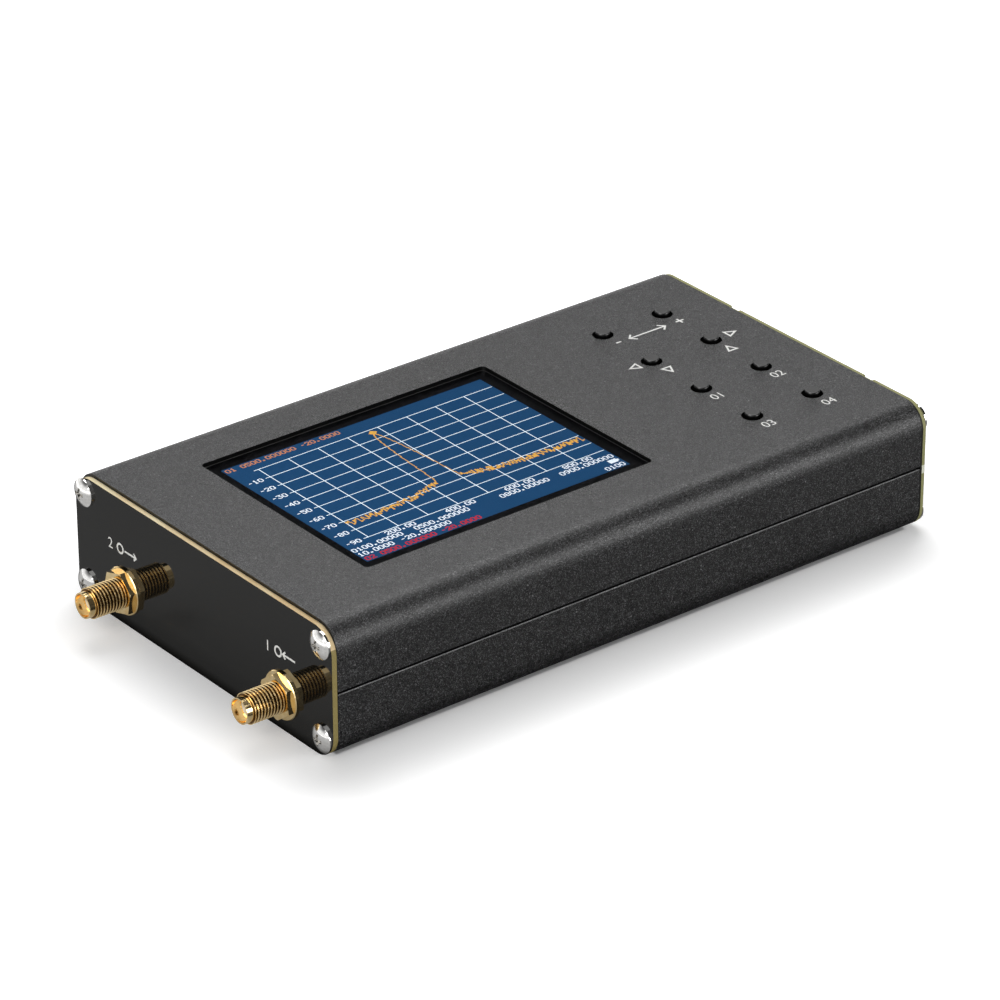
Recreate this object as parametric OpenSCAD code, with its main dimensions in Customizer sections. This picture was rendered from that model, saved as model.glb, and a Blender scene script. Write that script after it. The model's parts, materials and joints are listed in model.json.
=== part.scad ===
// Handheld spectrum analyzer in an extruded aluminium case.
// X runs along the case from the aerial sockets to the power end, Y runs across the face, Z is up.
// The origin is the middle of the case's bottom face.

/* [Case] */
// Length of the two half shells
case_l = 141; // [134:0.5:180]
// Width of the case
case_w = 81; // [78:0.5:100]
// Height of the case
case_h = 27.2; // [26.4:0.1:36]
// Radius of the four long edges
corner_r = 5; // [4:0.1:6]
// Thickness of the shell walls
wall_t = 1.5; // [1.2:0.1:2]
// Height of the line where the two shells meet
split_z = 13.75; // [12:0.05:15]
// Width of the bevels along that line
split_bevel = 0.25; // [0.1:0.05:0.4]
// Height of the shadow groove above that line
groove_h = 0.6; // [0.3:0.05:0.8]
// Depth of the shadow groove
groove_d = 0.55; // [0.3:0.05:0.6]
// Height of the tongue that locates the upper shell
tongue_h = 1.2; // [0.8:0.1:2]
// Thickness of the tongue
tongue_t = 0.6; // [0.4:0.05:0.8]
// Gap round the tongue
tongue_gap = 0.1; // [0.05:0.05:0.2]

/* [End panels] */
// Thickness of the end panels
panel_t = 1.2; // [0.8:0.1:2]
// How far the left panel stops below the top of the case
left_panel_drop = 0.6; // [0:0.1:1]
// How far the right panel stops below the top of the case
right_panel_drop = 0.3; // [0:0.1:1]
// Width of the break-off marks in the right panel's top edge
mark_w = 2.6; // [1:0.1:4]
// Depth of those marks
mark_d = 0.4; // [0.1:0.1:0.8]
// Places of those marks across the panel
mark_y = [16, -24]; // [-30:0.5:30]

/* [Panel screws] */
// Distance of the screws in from the side faces
screw_in_y = 3.1; // [3:0.1:4]
// Distance of the screws in from the top and bottom faces
screw_in_z = 3.9; // [3.6:0.1:4.2]
// Radius of the screw thread
screw_r = 1.45; // [1.2:0.05:1.6]
// Length of the screws below the head
screw_l = 10; // [6:0.5:16]
// Radius of the screw head
screw_head_r = 2.85; // [2.4:0.05:3]
// Height of the screw head
screw_head_h = 1.45; // [1.2:0.05:2]
// Height of the straight edge of the screw head
screw_edge_h = 0.45; // [0.3:0.05:0.8]
// Width of the cross recess
cross_w = 0.65; // [0.5:0.05:1]
// Length of the cross recess
cross_l = 2.4; // [2:0.1:3]
// Depth of the cross recess
cross_d = 1; // [0.6:0.05:1.2]
// Radius of the screw channel's wall
channel_r = 2.6; // [2.4:0.1:3]
// Gap between a screw and its channel
screw_gap = 0.05; // [0.02:0.01:0.1]
// Gap between a screw and its hole in the panel
panel_hole_gap = 0.15; // [0.1:0.05:0.4]

/* [Boards] */
// Thickness of the circuit boards
board_t = 1.6; // [1:0.1:2]
// Height of a card slot from the outside of its shell
slot_z = 5.45; // [5.2:0.05:5.6]
// Depth of the card slots
slot_d = 1.4; // [1:0.1:1.6]
// Thickness of the rail beyond a card slot
rail_t = 1.2; // [0.8:0.1:2]
// Gap between a board and the faces of its slot
board_gap = 0.05; // [0.02:0.01:0.1]
// Gap between a board and the bottom of its slot, or an end panel
board_end_gap = 0.2; // [0.1:0.05:0.4]

/* [Display] */
// Distance of the window from the aerial end of the shells
win_in_x = 18; // [17:0.05:22]
// Length of the window
win_l = 68; // [60:0.1:70]
// Width of the window
win_w = 52.2; // [44:0.1:54]
// Distance of the window's middle from the middle of the case
win_y = 0.6; // [-2:0.1:2]
// Corner radius of the window
win_r = 1; // [0.5:0.1:3]
// Depth of the cover glass below the top face
glass_depth = 1; // [0.8:0.05:1.2]
// Thickness of the gasket round the window
gasket_t = 0.15; // [0.1:0.05:0.3]
// Width of the gasket
gasket_w = 1.6; // [1:0.1:1.8]
// Thickness of the cover glass
glass_t = 0.7; // [0.5:0.1:1]
// How far the cover glass reaches past the window
glass_lap = 2; // [1.9:0.1:3]
// Gap round the cover glass in its pocket
pocket_gap = 0.3; // [0.1:0.05:0.5]
// Thickness of the liquid crystal cell
cell_t = 1.3; // [1:0.1:1.4]
// How far the cell reaches past the window
cell_lap = 1.2; // [0.8:0.1:1.5]
// Thickness of the backlight
backlight_t = 1.6; // [1.2:0.1:1.8]
// Thickness of the steel tray under the display
tray_t = 0.25; // [0.2:0.05:0.3]
// Gap between the tray and what it holds
tray_gap = 0.1; // [0.05:0.05:0.2]
// Width of the display ribbon
ribbon_w = 30; // [20:0.5:40]
// Thickness of the display ribbon
ribbon_t = 0.15; // [0.1:0.05:0.3]
// Gap between the ribbon socket and the key switches
ribbon_socket_gap = 1; // [0.5:0.1:4]
// How far the ribbon goes into its socket
ribbon_in = 1.6; // [1:0.1:2.5]
// Length of the ribbon socket along the case
ribbon_socket_l = 4.5; // [3.5:0.1:6]
// Height of the ribbon socket
ribbon_socket_h = 1.8; // [1.4:0.1:2]
// Wall of the ribbon socket at the ribbon's sides
ribbon_socket_wall = 2; // [1:0.1:3]
// Height of the ribbon's middle in its socket
ribbon_in_z = 0.9; // [0.6:0.05:1.1]

/* [Keys] */
// Distance of the outer key column from the power end of the shells
key_in_x = 12.6; // [11:0.1:20]
// Distance between the two key columns
key_pitch_x = 15.36; // [12:0.02:17]
// Distance between the key rows
key_pitch_y = 15.12; // [10:0.02:16]
// Radius of a key
key_r = 1.5; // [1.3:0.05:1.8]
// How far a key stands out of the case
key_proud = 0.8; // [0.5:0.05:1.5]
// Rounding of a key's top edge
key_round = 0.3; // [0.1:0.05:0.6]
// Gap between a key and its hole in the case
key_hole_gap = 0.65; // [0.2:0.05:0.8]
// How far a key travels when it is pressed
key_travel = 0.3; // [0.2:0.05:0.4]
// Side of the square key switch
switch_side = 6; // [5.5:0.1:7]
// Height of the key switch without its cover
switch_h = 3.2; // [3:0.1:3.4]
// Thickness of the switch's floor
switch_floor = 0.6; // [0.4:0.05:0.8]
// Radius of the switch's well
switch_well_r = 2.5; // [2.4:0.05:2.7]
// Thickness of the switch's steel cover
switch_cover_t = 0.3; // [0.2:0.05:0.4]
// Radius of the flange that keeps the key in
key_flange_r = 2.2; // [2.1:0.05:2.3]
// Height of that flange
key_flange_h = 1.3; // [1:0.05:1.4]
// Gap between a key and its switch's cover
key_gap = 0.08; // [0.05:0.01:0.1]
// Thickness of the spring dome in a switch
dome_t = 0.1; // [0.08:0.01:0.15]
// Radius of the spring dome
dome_r = 2.2; // [2:0.05:2.3]
// Height of the spring dome
dome_h = 0.5; // [0.4:0.05:0.6]

/* [Aerial sockets] */
// Distance of the sockets in from the side faces
jack_in_y = 15.4; // [12.5:0.1:22.5]
// Length of a socket outside its panel
jack_l = 9.6; // [8:0.1:12]
// Radius over the thread
jack_r = 3.1; // [2.9:0.01:3.2]
// Pitch of the thread
thread_pitch = 0.7056; // [0.6:0.0001:0.8]
// Depth of the thread
thread_d = 0.38; // [0.25:0.01:0.45]
// Radius of the smooth tip
tip_r = 2.6; // [2.55:0.05:2.75]
// Length of the smooth tip
tip_l = 1.5; // [1:0.1:2]
// Radius of the socket's mouth
mouth_r = 2.3; // [2.2:0.01:2.4]
// Depth of the mouth
mouth_d = 1.95; // [1.5:0.05:2.5]
// Radius of the insulator
insulator_r = 2.05; // [1.8:0.01:2.1]
// Gap round the insulator, and round the contact in it
insulator_gap = 0.01; // [0.01:0.005:0.03]
// Radius of the centre contact
contact_r = 0.635; // [0.5:0.005:0.7]
// Radius of the hole in the centre contact
contact_hole_r = 0.47; // [0.3:0.01:0.5]
// Depth of the hole in the centre contact
contact_hole_d = 3; // [2:0.1:4]
// Width of the slots in the centre contact
contact_slot_w = 0.2; // [0.1:0.05:0.3]
// Radius of the contact's tail on the board
tail_r = 0.25; // [0.2:0.01:0.3]
// Length of that tail
tail_l = 3; // [2:0.1:4]
// Side of the square flange behind the panel
flange_w = 8; // [7:0.1:9]
// Thickness of that flange
flange_t = 2; // [1.5:0.1:3]
// Side of the legs soldered to the board
leg_w = 1; // [0.8:0.1:1.4]
// Length of those legs
leg_l = 4.2; // [3:0.1:5]
// Film of solder under the legs and the tail
solder_t = 0.02; // [0.01:0.01:0.05]
// Gap between a socket and its hole in the panel
jack_hole_gap = 0.15; // [0.1:0.05:0.3]
// Size of the nut across its flats
nut_af = 8; // [7.6:0.1:9]
// Thickness of the nut
nut_t = 1.25; // [1:0.05:2.5]
// How far the nut's round face reaches past its flats
nut_round = 0.4; // [0.1:0.05:0.6]
// Slope of the bevel round the nut's face
nut_bevel_angle = 30; // [15:1:30]
// Gap between the nut or washer and the thread
nut_gap = 0.03; // [0.02:0.01:0.06]
// Turn of the nut on the output socket
output_nut_turn = 43; // [0:1:60]
// Turn of the nut on the input socket
input_nut_turn = 23; // [0:1:60]
// Radius of the lock washer
washer_r = 4.9; // [4.6:0.05:5.2]
// Thickness of the lock washer
washer_t = 0.5; // [0.3:0.05:0.8]
// Width of the bevel round the washer's rim
washer_bevel = 0.15; // [0.05:0.05:0.25]
// Number of teeth inside the lock washer
washer_teeth = 9; // [6:1:12]
// Length of the slots between those teeth
washer_slot_l = 0.7; // [0.4:0.05:0.9]
// Width of those slots
washer_slot_w = 0.8; // [0.4:0.05:1]

/* [Shield and chips] */
// Distance of the shield from the aerial end of the shells
shield_in_x = 10.5; // [9:0.1:14]
// Length of the shield
shield_l = 60; // [40:0.5:66]
// Width of the shield
shield_w = 56; // [40:0.5:60]
// Height of the shield's frame
shield_h = 3; // [2.4:0.1:3.6]
// Thickness of the shield's steel
shield_t = 0.3; // [0.2:0.05:0.4]
// Gap between the shield's lid and frame
lid_gap = 0.05; // [0.03:0.01:0.1]
// Height of the lid's turned-down edge
lid_edge_h = 1.5; // [1:0.1:2]
// Side of the large chip under the shield
rf_chip_l = 7; // [4:0.1:8]
// Thickness of the chips under the shield
rf_chip_t = 0.9; // [0.6:0.05:1.2]
// Length of the reference oscillator's can
oscillator_l = 7; // [5:0.1:8]
// Width of that can
oscillator_w = 5; // [3.2:0.1:6]
// Height of that can
oscillator_h = 1.8; // [1.2:0.1:2]
// Side of the processor
processor_l = 14; // [10:0.1:16]
// Thickness of the processor
processor_t = 1.4; // [1:0.1:1.6]
// Distance of the processor from the power end of the shells
processor_in_x = 20.5; // [19:0.5:24]
// Distance of the processor in from the board's edge
processor_in_y = 20; // [16:0.5:22]
// Number of leads on each side of the processor
lead_count = 12; // [8:1:16]
// Length of a lead outside the processor
lead_l = 1; // [0.6:0.1:1.4]
// Width of a lead
lead_w = 0.4; // [0.3:0.05:0.5]
// Height of a lead
lead_h = 0.6; // [0.4:0.05:0.8]
// Width of the charger's chip
charger_chip_w = 4; // [3:0.1:5]
// Side of the charger's coil
coil_l = 6; // [5:0.1:8]
// Height of the charger's coil
coil_h = 3; // [2:0.1:4]
// Distance of the charger from the power end of the shells
charger_in_x = 18.5; // [16:0.5:20]
// Distance of the charger in from the board's edge
charger_in_y = 18; // [16:0.5:22]

/* [Battery] */
// Length of the battery
battery_l = 58; // [40:0.5:64]
// Width of the battery
battery_w = 48; // [30:0.5:56]
// Room left over the battery for it to swell
battery_gap = 0.7; // [0.5:0.1:2]
// Rounding of the battery's long edges
battery_r = 2; // [1:0.1:2.8]
// Distance of the battery from the aerial end of the shells
battery_in_x = 11.5; // [10:0.1:14]
// Thickness of the pad under the battery
pad_t = 0.5; // [0.3:0.1:0.8]
// How far the pad stays inside the battery's outline
pad_in = 4; // [2:0.5:8]
// Distance of the battery's plug in from the board's edge
plug_in_y = 14; // [10:0.5:18]
// Distance of the plug's middle from the battery's end
plug_out_x = 12; // [9:0.5:16]
// Length of the plug across the case
plug_w = 6; // [5:0.1:8]
// Length of the plug along the case
plug_l = 4.4; // [3.5:0.1:6]
// Height of the plug's top above the board
plug_h = 5.4; // [4.5:0.1:5.8]
// Wall of the battery's socket on the board
plug_wall = 0.7; // [0.5:0.1:1]
// Height of the battery's socket
plug_socket_h = 4.2; // [3:0.1:4.4]
// Gap between the plug and its socket
plug_gap = 0.05; // [0.03:0.01:0.1]
// Distance between the battery's two leads
wire_pitch = 2; // [1.6:0.1:3]
// Radius of a battery lead
wire_r = 0.6; // [0.4:0.05:0.75]

/* [Board link] */
// Distance of the link from the power end of the shells
link_in_x = 38.5; // [36:0.5:42]
// Number of pins in each row of the link
link_pins_n = 10; // [4:1:14]
// Distance between the link's pins
link_pitch = 2.54; // [2:0.01:2.54]
// Side of a link pin
link_pin_w = 0.64; // [0.4:0.02:0.8]
// How far the pins go into the socket
link_pin_in = 6; // [3:0.5:8]
// Gap round a pin in the socket
link_pin_gap = 0.08; // [0.05:0.01:0.15]
// Height of the link's pin carrier
link_header_h = 2.5; // [2:0.1:3]

/* [Power end] */
// Place of the charging socket across the panel
usb_y = -8; // [-14:0.5:-6]
// Width of the charging socket
usb_w = 7.7; // [7:0.1:8.5]
// Height of the charging socket
usb_h = 3.9; // [3.5:0.1:4.5]
// Length of the charging socket
usb_l = 9.2; // [7:0.1:10]
// Inset of the socket's lower corners
usb_taper = 0.9; // [0.4:0.1:1.2]
// Thickness of the socket's shell
usb_t = 0.35; // [0.25:0.05:0.5]
// Width of the socket's tongue
usb_tongue_w = 4; // [3:0.1:4.4]
// Thickness of the socket's tongue
usb_tongue_t = 1.1; // [0.8:0.1:1.3]
// How far the tongue stays behind the socket's mouth
usb_tongue_in = 1.2; // [0.6:0.1:2]
// Length of the socket's inner block
usb_block_l = 2; // [1.5:0.1:3]
// Gap between the charging socket and its hole in the panel
usb_hole_gap = 0.2; // [0.1:0.05:0.4]
// Place of the power switch across the panel
power_y = 10; // [9:0.5:16]
// Width of the power switch
power_w = 8.6; // [8:0.1:10]
// Length of the power switch along the case
power_l = 4.4; // [4:0.1:6]
// Height of the power switch
power_h = 4.6; // [4.4:0.1:5.5]
// Wall of the power switch
power_wall = 0.5; // [0.4:0.05:0.7]
// Width of the slider's knob
knob_w = 2; // [1.4:0.1:2.6]
// Height of the slider's knob
knob_h = 1.6; // [1.2:0.1:2]
// How far the knob stands out of the panel
knob_proud = 1.8; // [1:0.1:3]
// Travel of the slider
slider_travel = 2; // [1.5:0.1:2.5]
// Gap round the slider
slider_gap = 0.15; // [0.1:0.01:0.2]
// How much wider than the knob the slider's foot is, on each side
slider_foot = 0.8; // [0.6:0.05:0.9]
// Length of the slider's foot along the case
slider_foot_l = 1.6; // [1:0.1:2]
// Place of the charge light across the panel
light_y = 1; // [0:0.5:2]
// Radius of the charge light
light_r = 1.45; // [1:0.05:1.5]
// Radius of the charge light's collar
light_collar_r = 1.7; // [1.6:0.05:1.9]
// Length of the charge light's collar
light_collar_l = 1; // [0.6:0.1:1.5]
// Gap between the charge light and its hole
light_gap = 0.15; // [0.1:0.05:0.3]
// How far the charge light stands out of the panel
light_proud = 0.5; // [0.2:0.1:0.8]
// Height of the charge light's axis above the board
light_z = 2.3; // [2:0.1:2.6]
// Width of the charge light's legs
light_leg_w = 0.5; // [0.4:0.05:0.6]
// Distance between the charge light's legs
light_leg_pitch = 1.6; // [1.2:0.05:2]

/* [Hidden] */
$fn = 64;

// Colours
shell_grey = [0.30, 0.30, 0.31];
mask_black = [0.07, 0.07, 0.08];
nickel = [0.78, 0.77, 0.75];
gold = [0.83, 0.64, 0.30];
key_black = [0.05, 0.05, 0.05];
screen_blue = [0.10, 0.25, 0.45];
board_green = [0.08, 0.30, 0.18];
steel = [0.62, 0.63, 0.65];
chip_black = [0.12, 0.12, 0.13];
foil_silver = [0.72, 0.73, 0.75];
plastic_white = [0.90, 0.89, 0.86];
film_amber = [0.75, 0.45, 0.12];

// How far a cut runs past the face that it opens
over = 1;

// Rows of keys, two keys to a row
key_rows = 4;

half_l = case_l / 2;
screw_y = case_w / 2 - screw_in_y;
rail_y = screw_y - channel_r;
slot_y = rail_y + slot_d;
slot_h = board_t + 2 * board_gap;
key_x = half_l - key_in_x;

// Faces of the two boards
main_z = slot_z + board_gap;
main_top = main_z + board_t;
front_top = case_h - slot_z - board_gap;
front_z = front_top - board_t;
board_w = 2 * (slot_y - board_end_gap);

// Display, from the top down
win_x = -half_l + win_in_x + win_l / 2;
web_t = glass_depth - gasket_t;
glass_l = win_l + 2 * glass_lap;
glass_w = win_w + 2 * glass_lap;
glass_z = case_h - glass_depth - glass_t;
cell_l = win_l + 2 * cell_lap;
cell_w = win_w + 2 * cell_lap;
cell_z = glass_z - cell_t;
backlight_z = cell_z - backlight_t;
tray_z = backlight_z - tray_t;
tray_l = cell_l + 2 * (tray_gap + tray_t);
tray_w = cell_w + 2 * (tray_gap + tray_t);

// Ribbon, from the display's edge down to its socket in two equal bends
ribbon_x = win_x + cell_l / 2;
ribbon_top_z = cell_z + cell_t / 2;
ribbon_low_z = front_top + ribbon_in_z;
ribbon_bend = (ribbon_top_z - ribbon_low_z) / 2;
ribbon_socket_x = key_x - key_pitch_x - switch_side / 2 - ribbon_socket_gap - ribbon_socket_l;
ribbon_run = ribbon_socket_x - 2 * ribbon_bend - ribbon_x;

// Keys
key_top = case_h + key_proud;
switch_top = front_top + switch_h;
key_flange_top = switch_top - key_gap;
key_flange_z = key_flange_top - key_flange_h;
dome_z = front_top + switch_floor;

// Aerial sockets
jack_y = case_w / 2 - jack_in_y;
jack_z = main_top + tail_r + solder_t;
jack_face = jack_l - mouth_d;
flange_back = -panel_t - flange_t;
jack_bore_l = jack_l - flange_back + 2 * over;
thread_l = jack_l - tip_l;
thread_flank = thread_d * tan(30);
thread_crest = thread_pitch / 8;
main_x0 = -half_l + flange_t + board_end_gap / 2;
main_x1 = half_l - board_end_gap;

// Shield and battery
shield_x = -half_l + shield_in_x + shield_l / 2;
lid_z = main_top + shield_h;
lid_l = shield_l + 2 * (lid_gap + shield_t);
lid_w = shield_w + 2 * (lid_gap + shield_t);
pad_z = lid_z + shield_t;
battery_z = pad_z + pad_t;
battery_t = front_z - battery_gap - battery_z;
battery_x = -half_l + battery_in_x + battery_l / 2;
battery_end = battery_x + battery_l / 2;
plug_x = battery_end + plug_out_x;
plug_y = board_w / 2 - plug_in_y;
plug_top = main_top + plug_h;
wire_z = battery_z + battery_t / 2;
wire_bend = wire_z - plug_top;

// Board link
link_x = half_l - link_in_x;
link_w = link_pins_n * link_pitch;
link_l = 2 * link_pitch;
link_header_z = front_z - link_header_h;

// Power end
power_x = half_l - board_end_gap / 2 - power_l;
power_z = main_top + power_h / 2;
foot_w = knob_w + 2 * slider_foot;
foot_h = knob_h + 2 * slider_foot;
foot_x = half_l - board_end_gap / 2 - power_wall - slider_gap - slider_foot_l;
charger_x = half_l - charger_in_x;
charger_y = board_w / 2 - charger_in_y;
processor_y = processor_in_y - board_w / 2;

// Shapes that several pieces share

// Rectangle with round corners, centred on X and standing on Y = 0
module round_rect(w, h, r) {
    translate([-w / 2 + r, 0]) square([w - 2 * r, h]);
    translate([-w / 2, r]) square([w, h - 2 * r]);
    for (side = [-1, 1], y = [r, h - r])
        translate([side * (w / 2 - r), y]) circle(r);
}

// Block on the point given, centred on X and Y and standing on Z
module block(at, size) {
    translate(at - [size[0] / 2, size[1] / 2, 0]) cube(size);
}

// A shape drawn across the case, Y to the side and Z up, drawn out along X
module along_x(from, length) {
    translate([from, 0, 0]) rotate([90, 0, 90]) linear_extrude(length) children();
}

// Stands children on the outer face of an end panel: their X is the case's Y, their Y its Z
module on_left_panel() {
    translate([-half_l - panel_t, 0, 0]) mirror([1, 0, 0]) rotate([90, 0, 90]) children();
}

module on_right_panel() {
    translate([half_l + panel_t, 0, 0]) rotate([90, 0, 90]) children();
}

module both_sides() {
    children();
    mirror([1, 0]) children();
}

// Puts children at each of the four panel screws
module at_screws() {
    for (y = [-screw_y, screw_y], z = [screw_in_z, case_h - screw_in_z])
        translate([y, z]) children();
}

function key_place(i) = [
    key_x - (1 - i % 2) * key_pitch_x,
    ((key_rows - 1) / 2 - floor(i / 2)) * key_pitch_y
];

module at_keys() {
    for (i = [0 : 2 * key_rows - 1])
        translate(key_place(i)) children();
}

// Case

// Screw channel with its card slot, on the +Y side
module channel_profile() {
    translate([screw_y, screw_in_z]) circle(channel_r);
    translate([screw_y, 0]) square([screw_in_y, screw_in_z]);
    difference() {
        translate([rail_y, screw_in_z])
            square([case_w / 2 - rail_y, slot_z + slot_h + rail_t - screw_in_z]);
        translate([rail_y - over, slot_z]) square([slot_d + over, slot_h]);
    }
}

// One half shell seen along the case, cut off at the height given
module half_profile(cut_z) {
    difference() {
        intersection() {
            round_rect(case_w, case_h, corner_r);
            union() {
                difference() {
                    round_rect(case_w, case_h, corner_r);
                    translate([0, wall_t])
                        round_rect(case_w - 2 * wall_t, case_h - 2 * wall_t, corner_r - wall_t);
                }
                both_sides() channel_profile();
            }
        }
        both_sides() translate([screw_y, screw_in_z]) circle(screw_r + screw_gap);
        both_sides() translate([rail_y - over, slot_z]) square([slot_d + over, slot_h]);
        translate([-case_w, cut_z]) square([2 * case_w, case_h]);
        both_sides()
            translate([case_w / 2, cut_z]) rotate(45) square(split_bevel * sqrt(2), center = true);
    }
}

module lower_shell() {
    color(shell_grey) along_x(-half_l, case_l) {
        half_profile(split_z);
        both_sides()
            translate([case_w / 2 - wall_t, split_z - tongue_h])
                square([tongue_t, 2 * tongue_h]);
    }
}

module upper_shell() {
    color(shell_grey) difference() {
        along_x(-half_l, case_l) difference() {
            translate([0, case_h]) mirror([0, 1]) half_profile(case_h - split_z);
            both_sides() {
                translate([case_w / 2 - wall_t - over, split_z - over])
                    square([over + tongue_t + tongue_gap, over + tongue_h + tongue_gap]);
                translate([case_w / 2 - groove_d, split_z - over])
                    square([groove_d + over, over + groove_h]);
            }
        }
        translate([win_x, win_y - win_w / 2, case_h - wall_t - over])
            linear_extrude(wall_t + 2 * over) round_rect(win_l, win_w, win_r);
        block([win_x, win_y, case_h - wall_t - over],
              [glass_l + 2 * pocket_gap, glass_w + 2 * pocket_gap, over + wall_t - web_t]);
        at_keys() translate([0, 0, case_h - wall_t - over])
            cylinder(r = key_r + key_hole_gap, h = wall_t + 2 * over);
    }
}

module panel_outline(drop) {
    round_rect(case_w, case_h - drop, corner_r);
}

module left_panel() {
    color(mask_black) on_left_panel() translate([0, 0, -panel_t]) linear_extrude(panel_t) difference() {
        panel_outline(left_panel_drop);
        at_screws() circle(screw_r + panel_hole_gap);
        both_sides() translate([jack_y, jack_z]) circle(jack_r + jack_hole_gap);
    }
}

module right_panel() {
    color(mask_black) on_right_panel() translate([0, 0, -panel_t]) linear_extrude(panel_t) difference() {
        panel_outline(right_panel_drop);
        at_screws() circle(screw_r + panel_hole_gap);
        for (y = mark_y)
            translate([y - mark_w / 2, case_h - right_panel_drop - mark_d]) square([mark_w, mark_d + over]);
        translate([usb_y, main_top - usb_hole_gap])
            usb_profile(usb_w + 2 * usb_hole_gap, usb_h + 2 * usb_hole_gap);
        translate([power_y, power_z])
            square([knob_w + slider_travel + 2 * slider_gap, knob_h + 2 * slider_gap], center = true);
        translate([light_y, main_top + light_z]) circle(light_r + light_gap);
    }
}

// Pan head screw with a cross recess, standing on the panel
module panel_screw() {
    dome_rise = screw_head_h - screw_edge_h;
    dome_radius = (pow(screw_head_r, 2) + pow(dome_rise, 2)) / (2 * dome_rise);
    difference() {
        union() {
            translate([0, 0, -screw_l]) cylinder(r = screw_r, h = screw_l);
            rotate_extrude() intersection() {
                square([screw_head_r, screw_head_h]);
                translate([0, screw_head_h - dome_radius]) circle(dome_radius);
            }
        }
        for (turn = [0, 90])
            rotate(turn) block([0, 0, screw_head_h - cross_d], [cross_l, cross_w, cross_d + over]);
    }
}

module left_panel_screws() {
    color(nickel) on_left_panel() at_screws() panel_screw();
}

module right_panel_screws() {
    color(nickel) on_right_panel() at_screws() panel_screw();
}

// Display

module window_gasket() {
    color(key_black) translate([win_x, win_y, case_h - glass_depth]) linear_extrude(gasket_t) difference() {
        square([win_l + 2 * gasket_w, win_w + 2 * gasket_w], center = true);
        translate([0, -win_w / 2]) round_rect(win_l, win_w, win_r);
    }
}

module cover_glass() {
    color(chip_black) block([win_x, win_y, glass_z], [glass_l, glass_w, glass_t]);
}

module display_cell() {
    color(screen_blue) block([win_x, win_y, cell_z], [cell_l, cell_w, cell_t]);
}

module display_backlight() {
    color(plastic_white) block([win_x, win_y, backlight_z], [cell_l, cell_w, backlight_t]);
}

// The tray's sides stop below the ribbon, which leaves over its edge
module display_tray() {
    color(steel) difference() {
        block([win_x, win_y, tray_z], [tray_l, tray_w, ribbon_top_z - ribbon_t - tray_z]);
        block([win_x, win_y, tray_z + tray_t], [cell_l + 2 * tray_gap, cell_w + 2 * tray_gap, case_h]);
    }
}

module display_tape() {
    color(key_black) block([win_x, win_y, front_top], [cell_l, cell_w, tray_z - front_top]);
}

// Quarter of a strip's bend, from straight down on the bend's middle to straight out
module strip_bend(r, t) {
    intersection() {
        difference() {
            circle(r + t / 2);
            circle(r - t / 2);
        }
        square(r + t);
    }
}

module display_ribbon() {
    bend_x = ribbon_x + ribbon_run;
    color(film_amber) translate([0, ribbon_w / 2, 0]) rotate([90, 0, 0]) linear_extrude(ribbon_w) {
        translate([ribbon_x, ribbon_top_z - ribbon_t / 2]) square([ribbon_run, ribbon_t]);
        translate([bend_x, ribbon_top_z - ribbon_bend]) strip_bend(ribbon_bend, ribbon_t);
        translate([ribbon_socket_x, ribbon_low_z + ribbon_bend])
            rotate(180) strip_bend(ribbon_bend, ribbon_t);
        translate([ribbon_socket_x, ribbon_low_z - ribbon_t / 2]) square([ribbon_in, ribbon_t]);
    }
}

module ribbon_socket() {
    socket_w = ribbon_w + 2 * ribbon_socket_wall;
    color(chip_black) difference() {
        block([ribbon_socket_x + ribbon_socket_l / 2, 0, front_top],
              [ribbon_socket_l, socket_w, ribbon_socket_h]);
        block([ribbon_socket_x, 0, ribbon_low_z - ribbon_t / 2 - board_gap],
              [2 * ribbon_in + 2 * board_gap, ribbon_w + 2 * board_gap, ribbon_t + 2 * board_gap]);
    }
}

// Keys and their switches

module front_board() {
    color(board_green) block([0, 0, front_z], [case_l - 2 * board_end_gap, board_w, board_t]);
}

module switch_housings() {
    color(chip_black) at_keys() difference() {
        block([0, 0, front_top], [switch_side, switch_side, switch_h]);
        translate([0, 0, dome_z]) cylinder(r = switch_well_r, h = switch_h);
    }
}

module switch_covers() {
    color(steel) at_keys() difference() {
        block([0, 0, switch_top], [switch_side, switch_side, switch_cover_t]);
        translate([0, 0, switch_top - over]) cylinder(r = key_r + key_gap, h = switch_cover_t + 2 * over);
    }
}

// Shallow spring dome, a slice of a thin sphere
module switch_domes() {
    sphere_r = (pow(dome_r, 2) + pow(dome_h, 2)) / (2 * dome_h);
    color(nickel) at_keys() translate([0, 0, dome_z]) rotate_extrude() intersection() {
        square([dome_r, dome_h]);
        translate([0, dome_h - sphere_r]) difference() {
            circle(sphere_r);
            circle(sphere_r - dome_t);
        }
    }
}

// A key's stem and flange are one moulding. Its lower end stops above the dome by the key's travel.
module key_piece(i) {
    key_z = dome_z + dome_h + key_travel + key_gap;
    color(key_black) translate(key_place(i)) rotate_extrude() {
        translate([0, key_z]) square([key_r, key_top - key_round - key_z]);
        translate([0, key_top - key_round]) square([key_r - key_round, key_round]);
        translate([key_r - key_round, key_top - key_round]) intersection() {
            circle(key_round);
            square(key_round);
        }
        translate([0, key_flange_z]) square([key_flange_r, key_flange_h]);
    }
}

module key_1() { key_piece(0); }
module key_2() { key_piece(1); }
module key_3() { key_piece(2); }
module key_4() { key_piece(3); }
module key_5() { key_piece(4); }
module key_6() { key_piece(5); }
module key_7() { key_piece(6); }
module key_8() { key_piece(7); }

// Main board and what is soldered to it

module main_board() {
    color(board_green)
        block([(main_x0 + main_x1) / 2, 0, main_z], [main_x1 - main_x0, board_w, board_t]);
}

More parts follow.
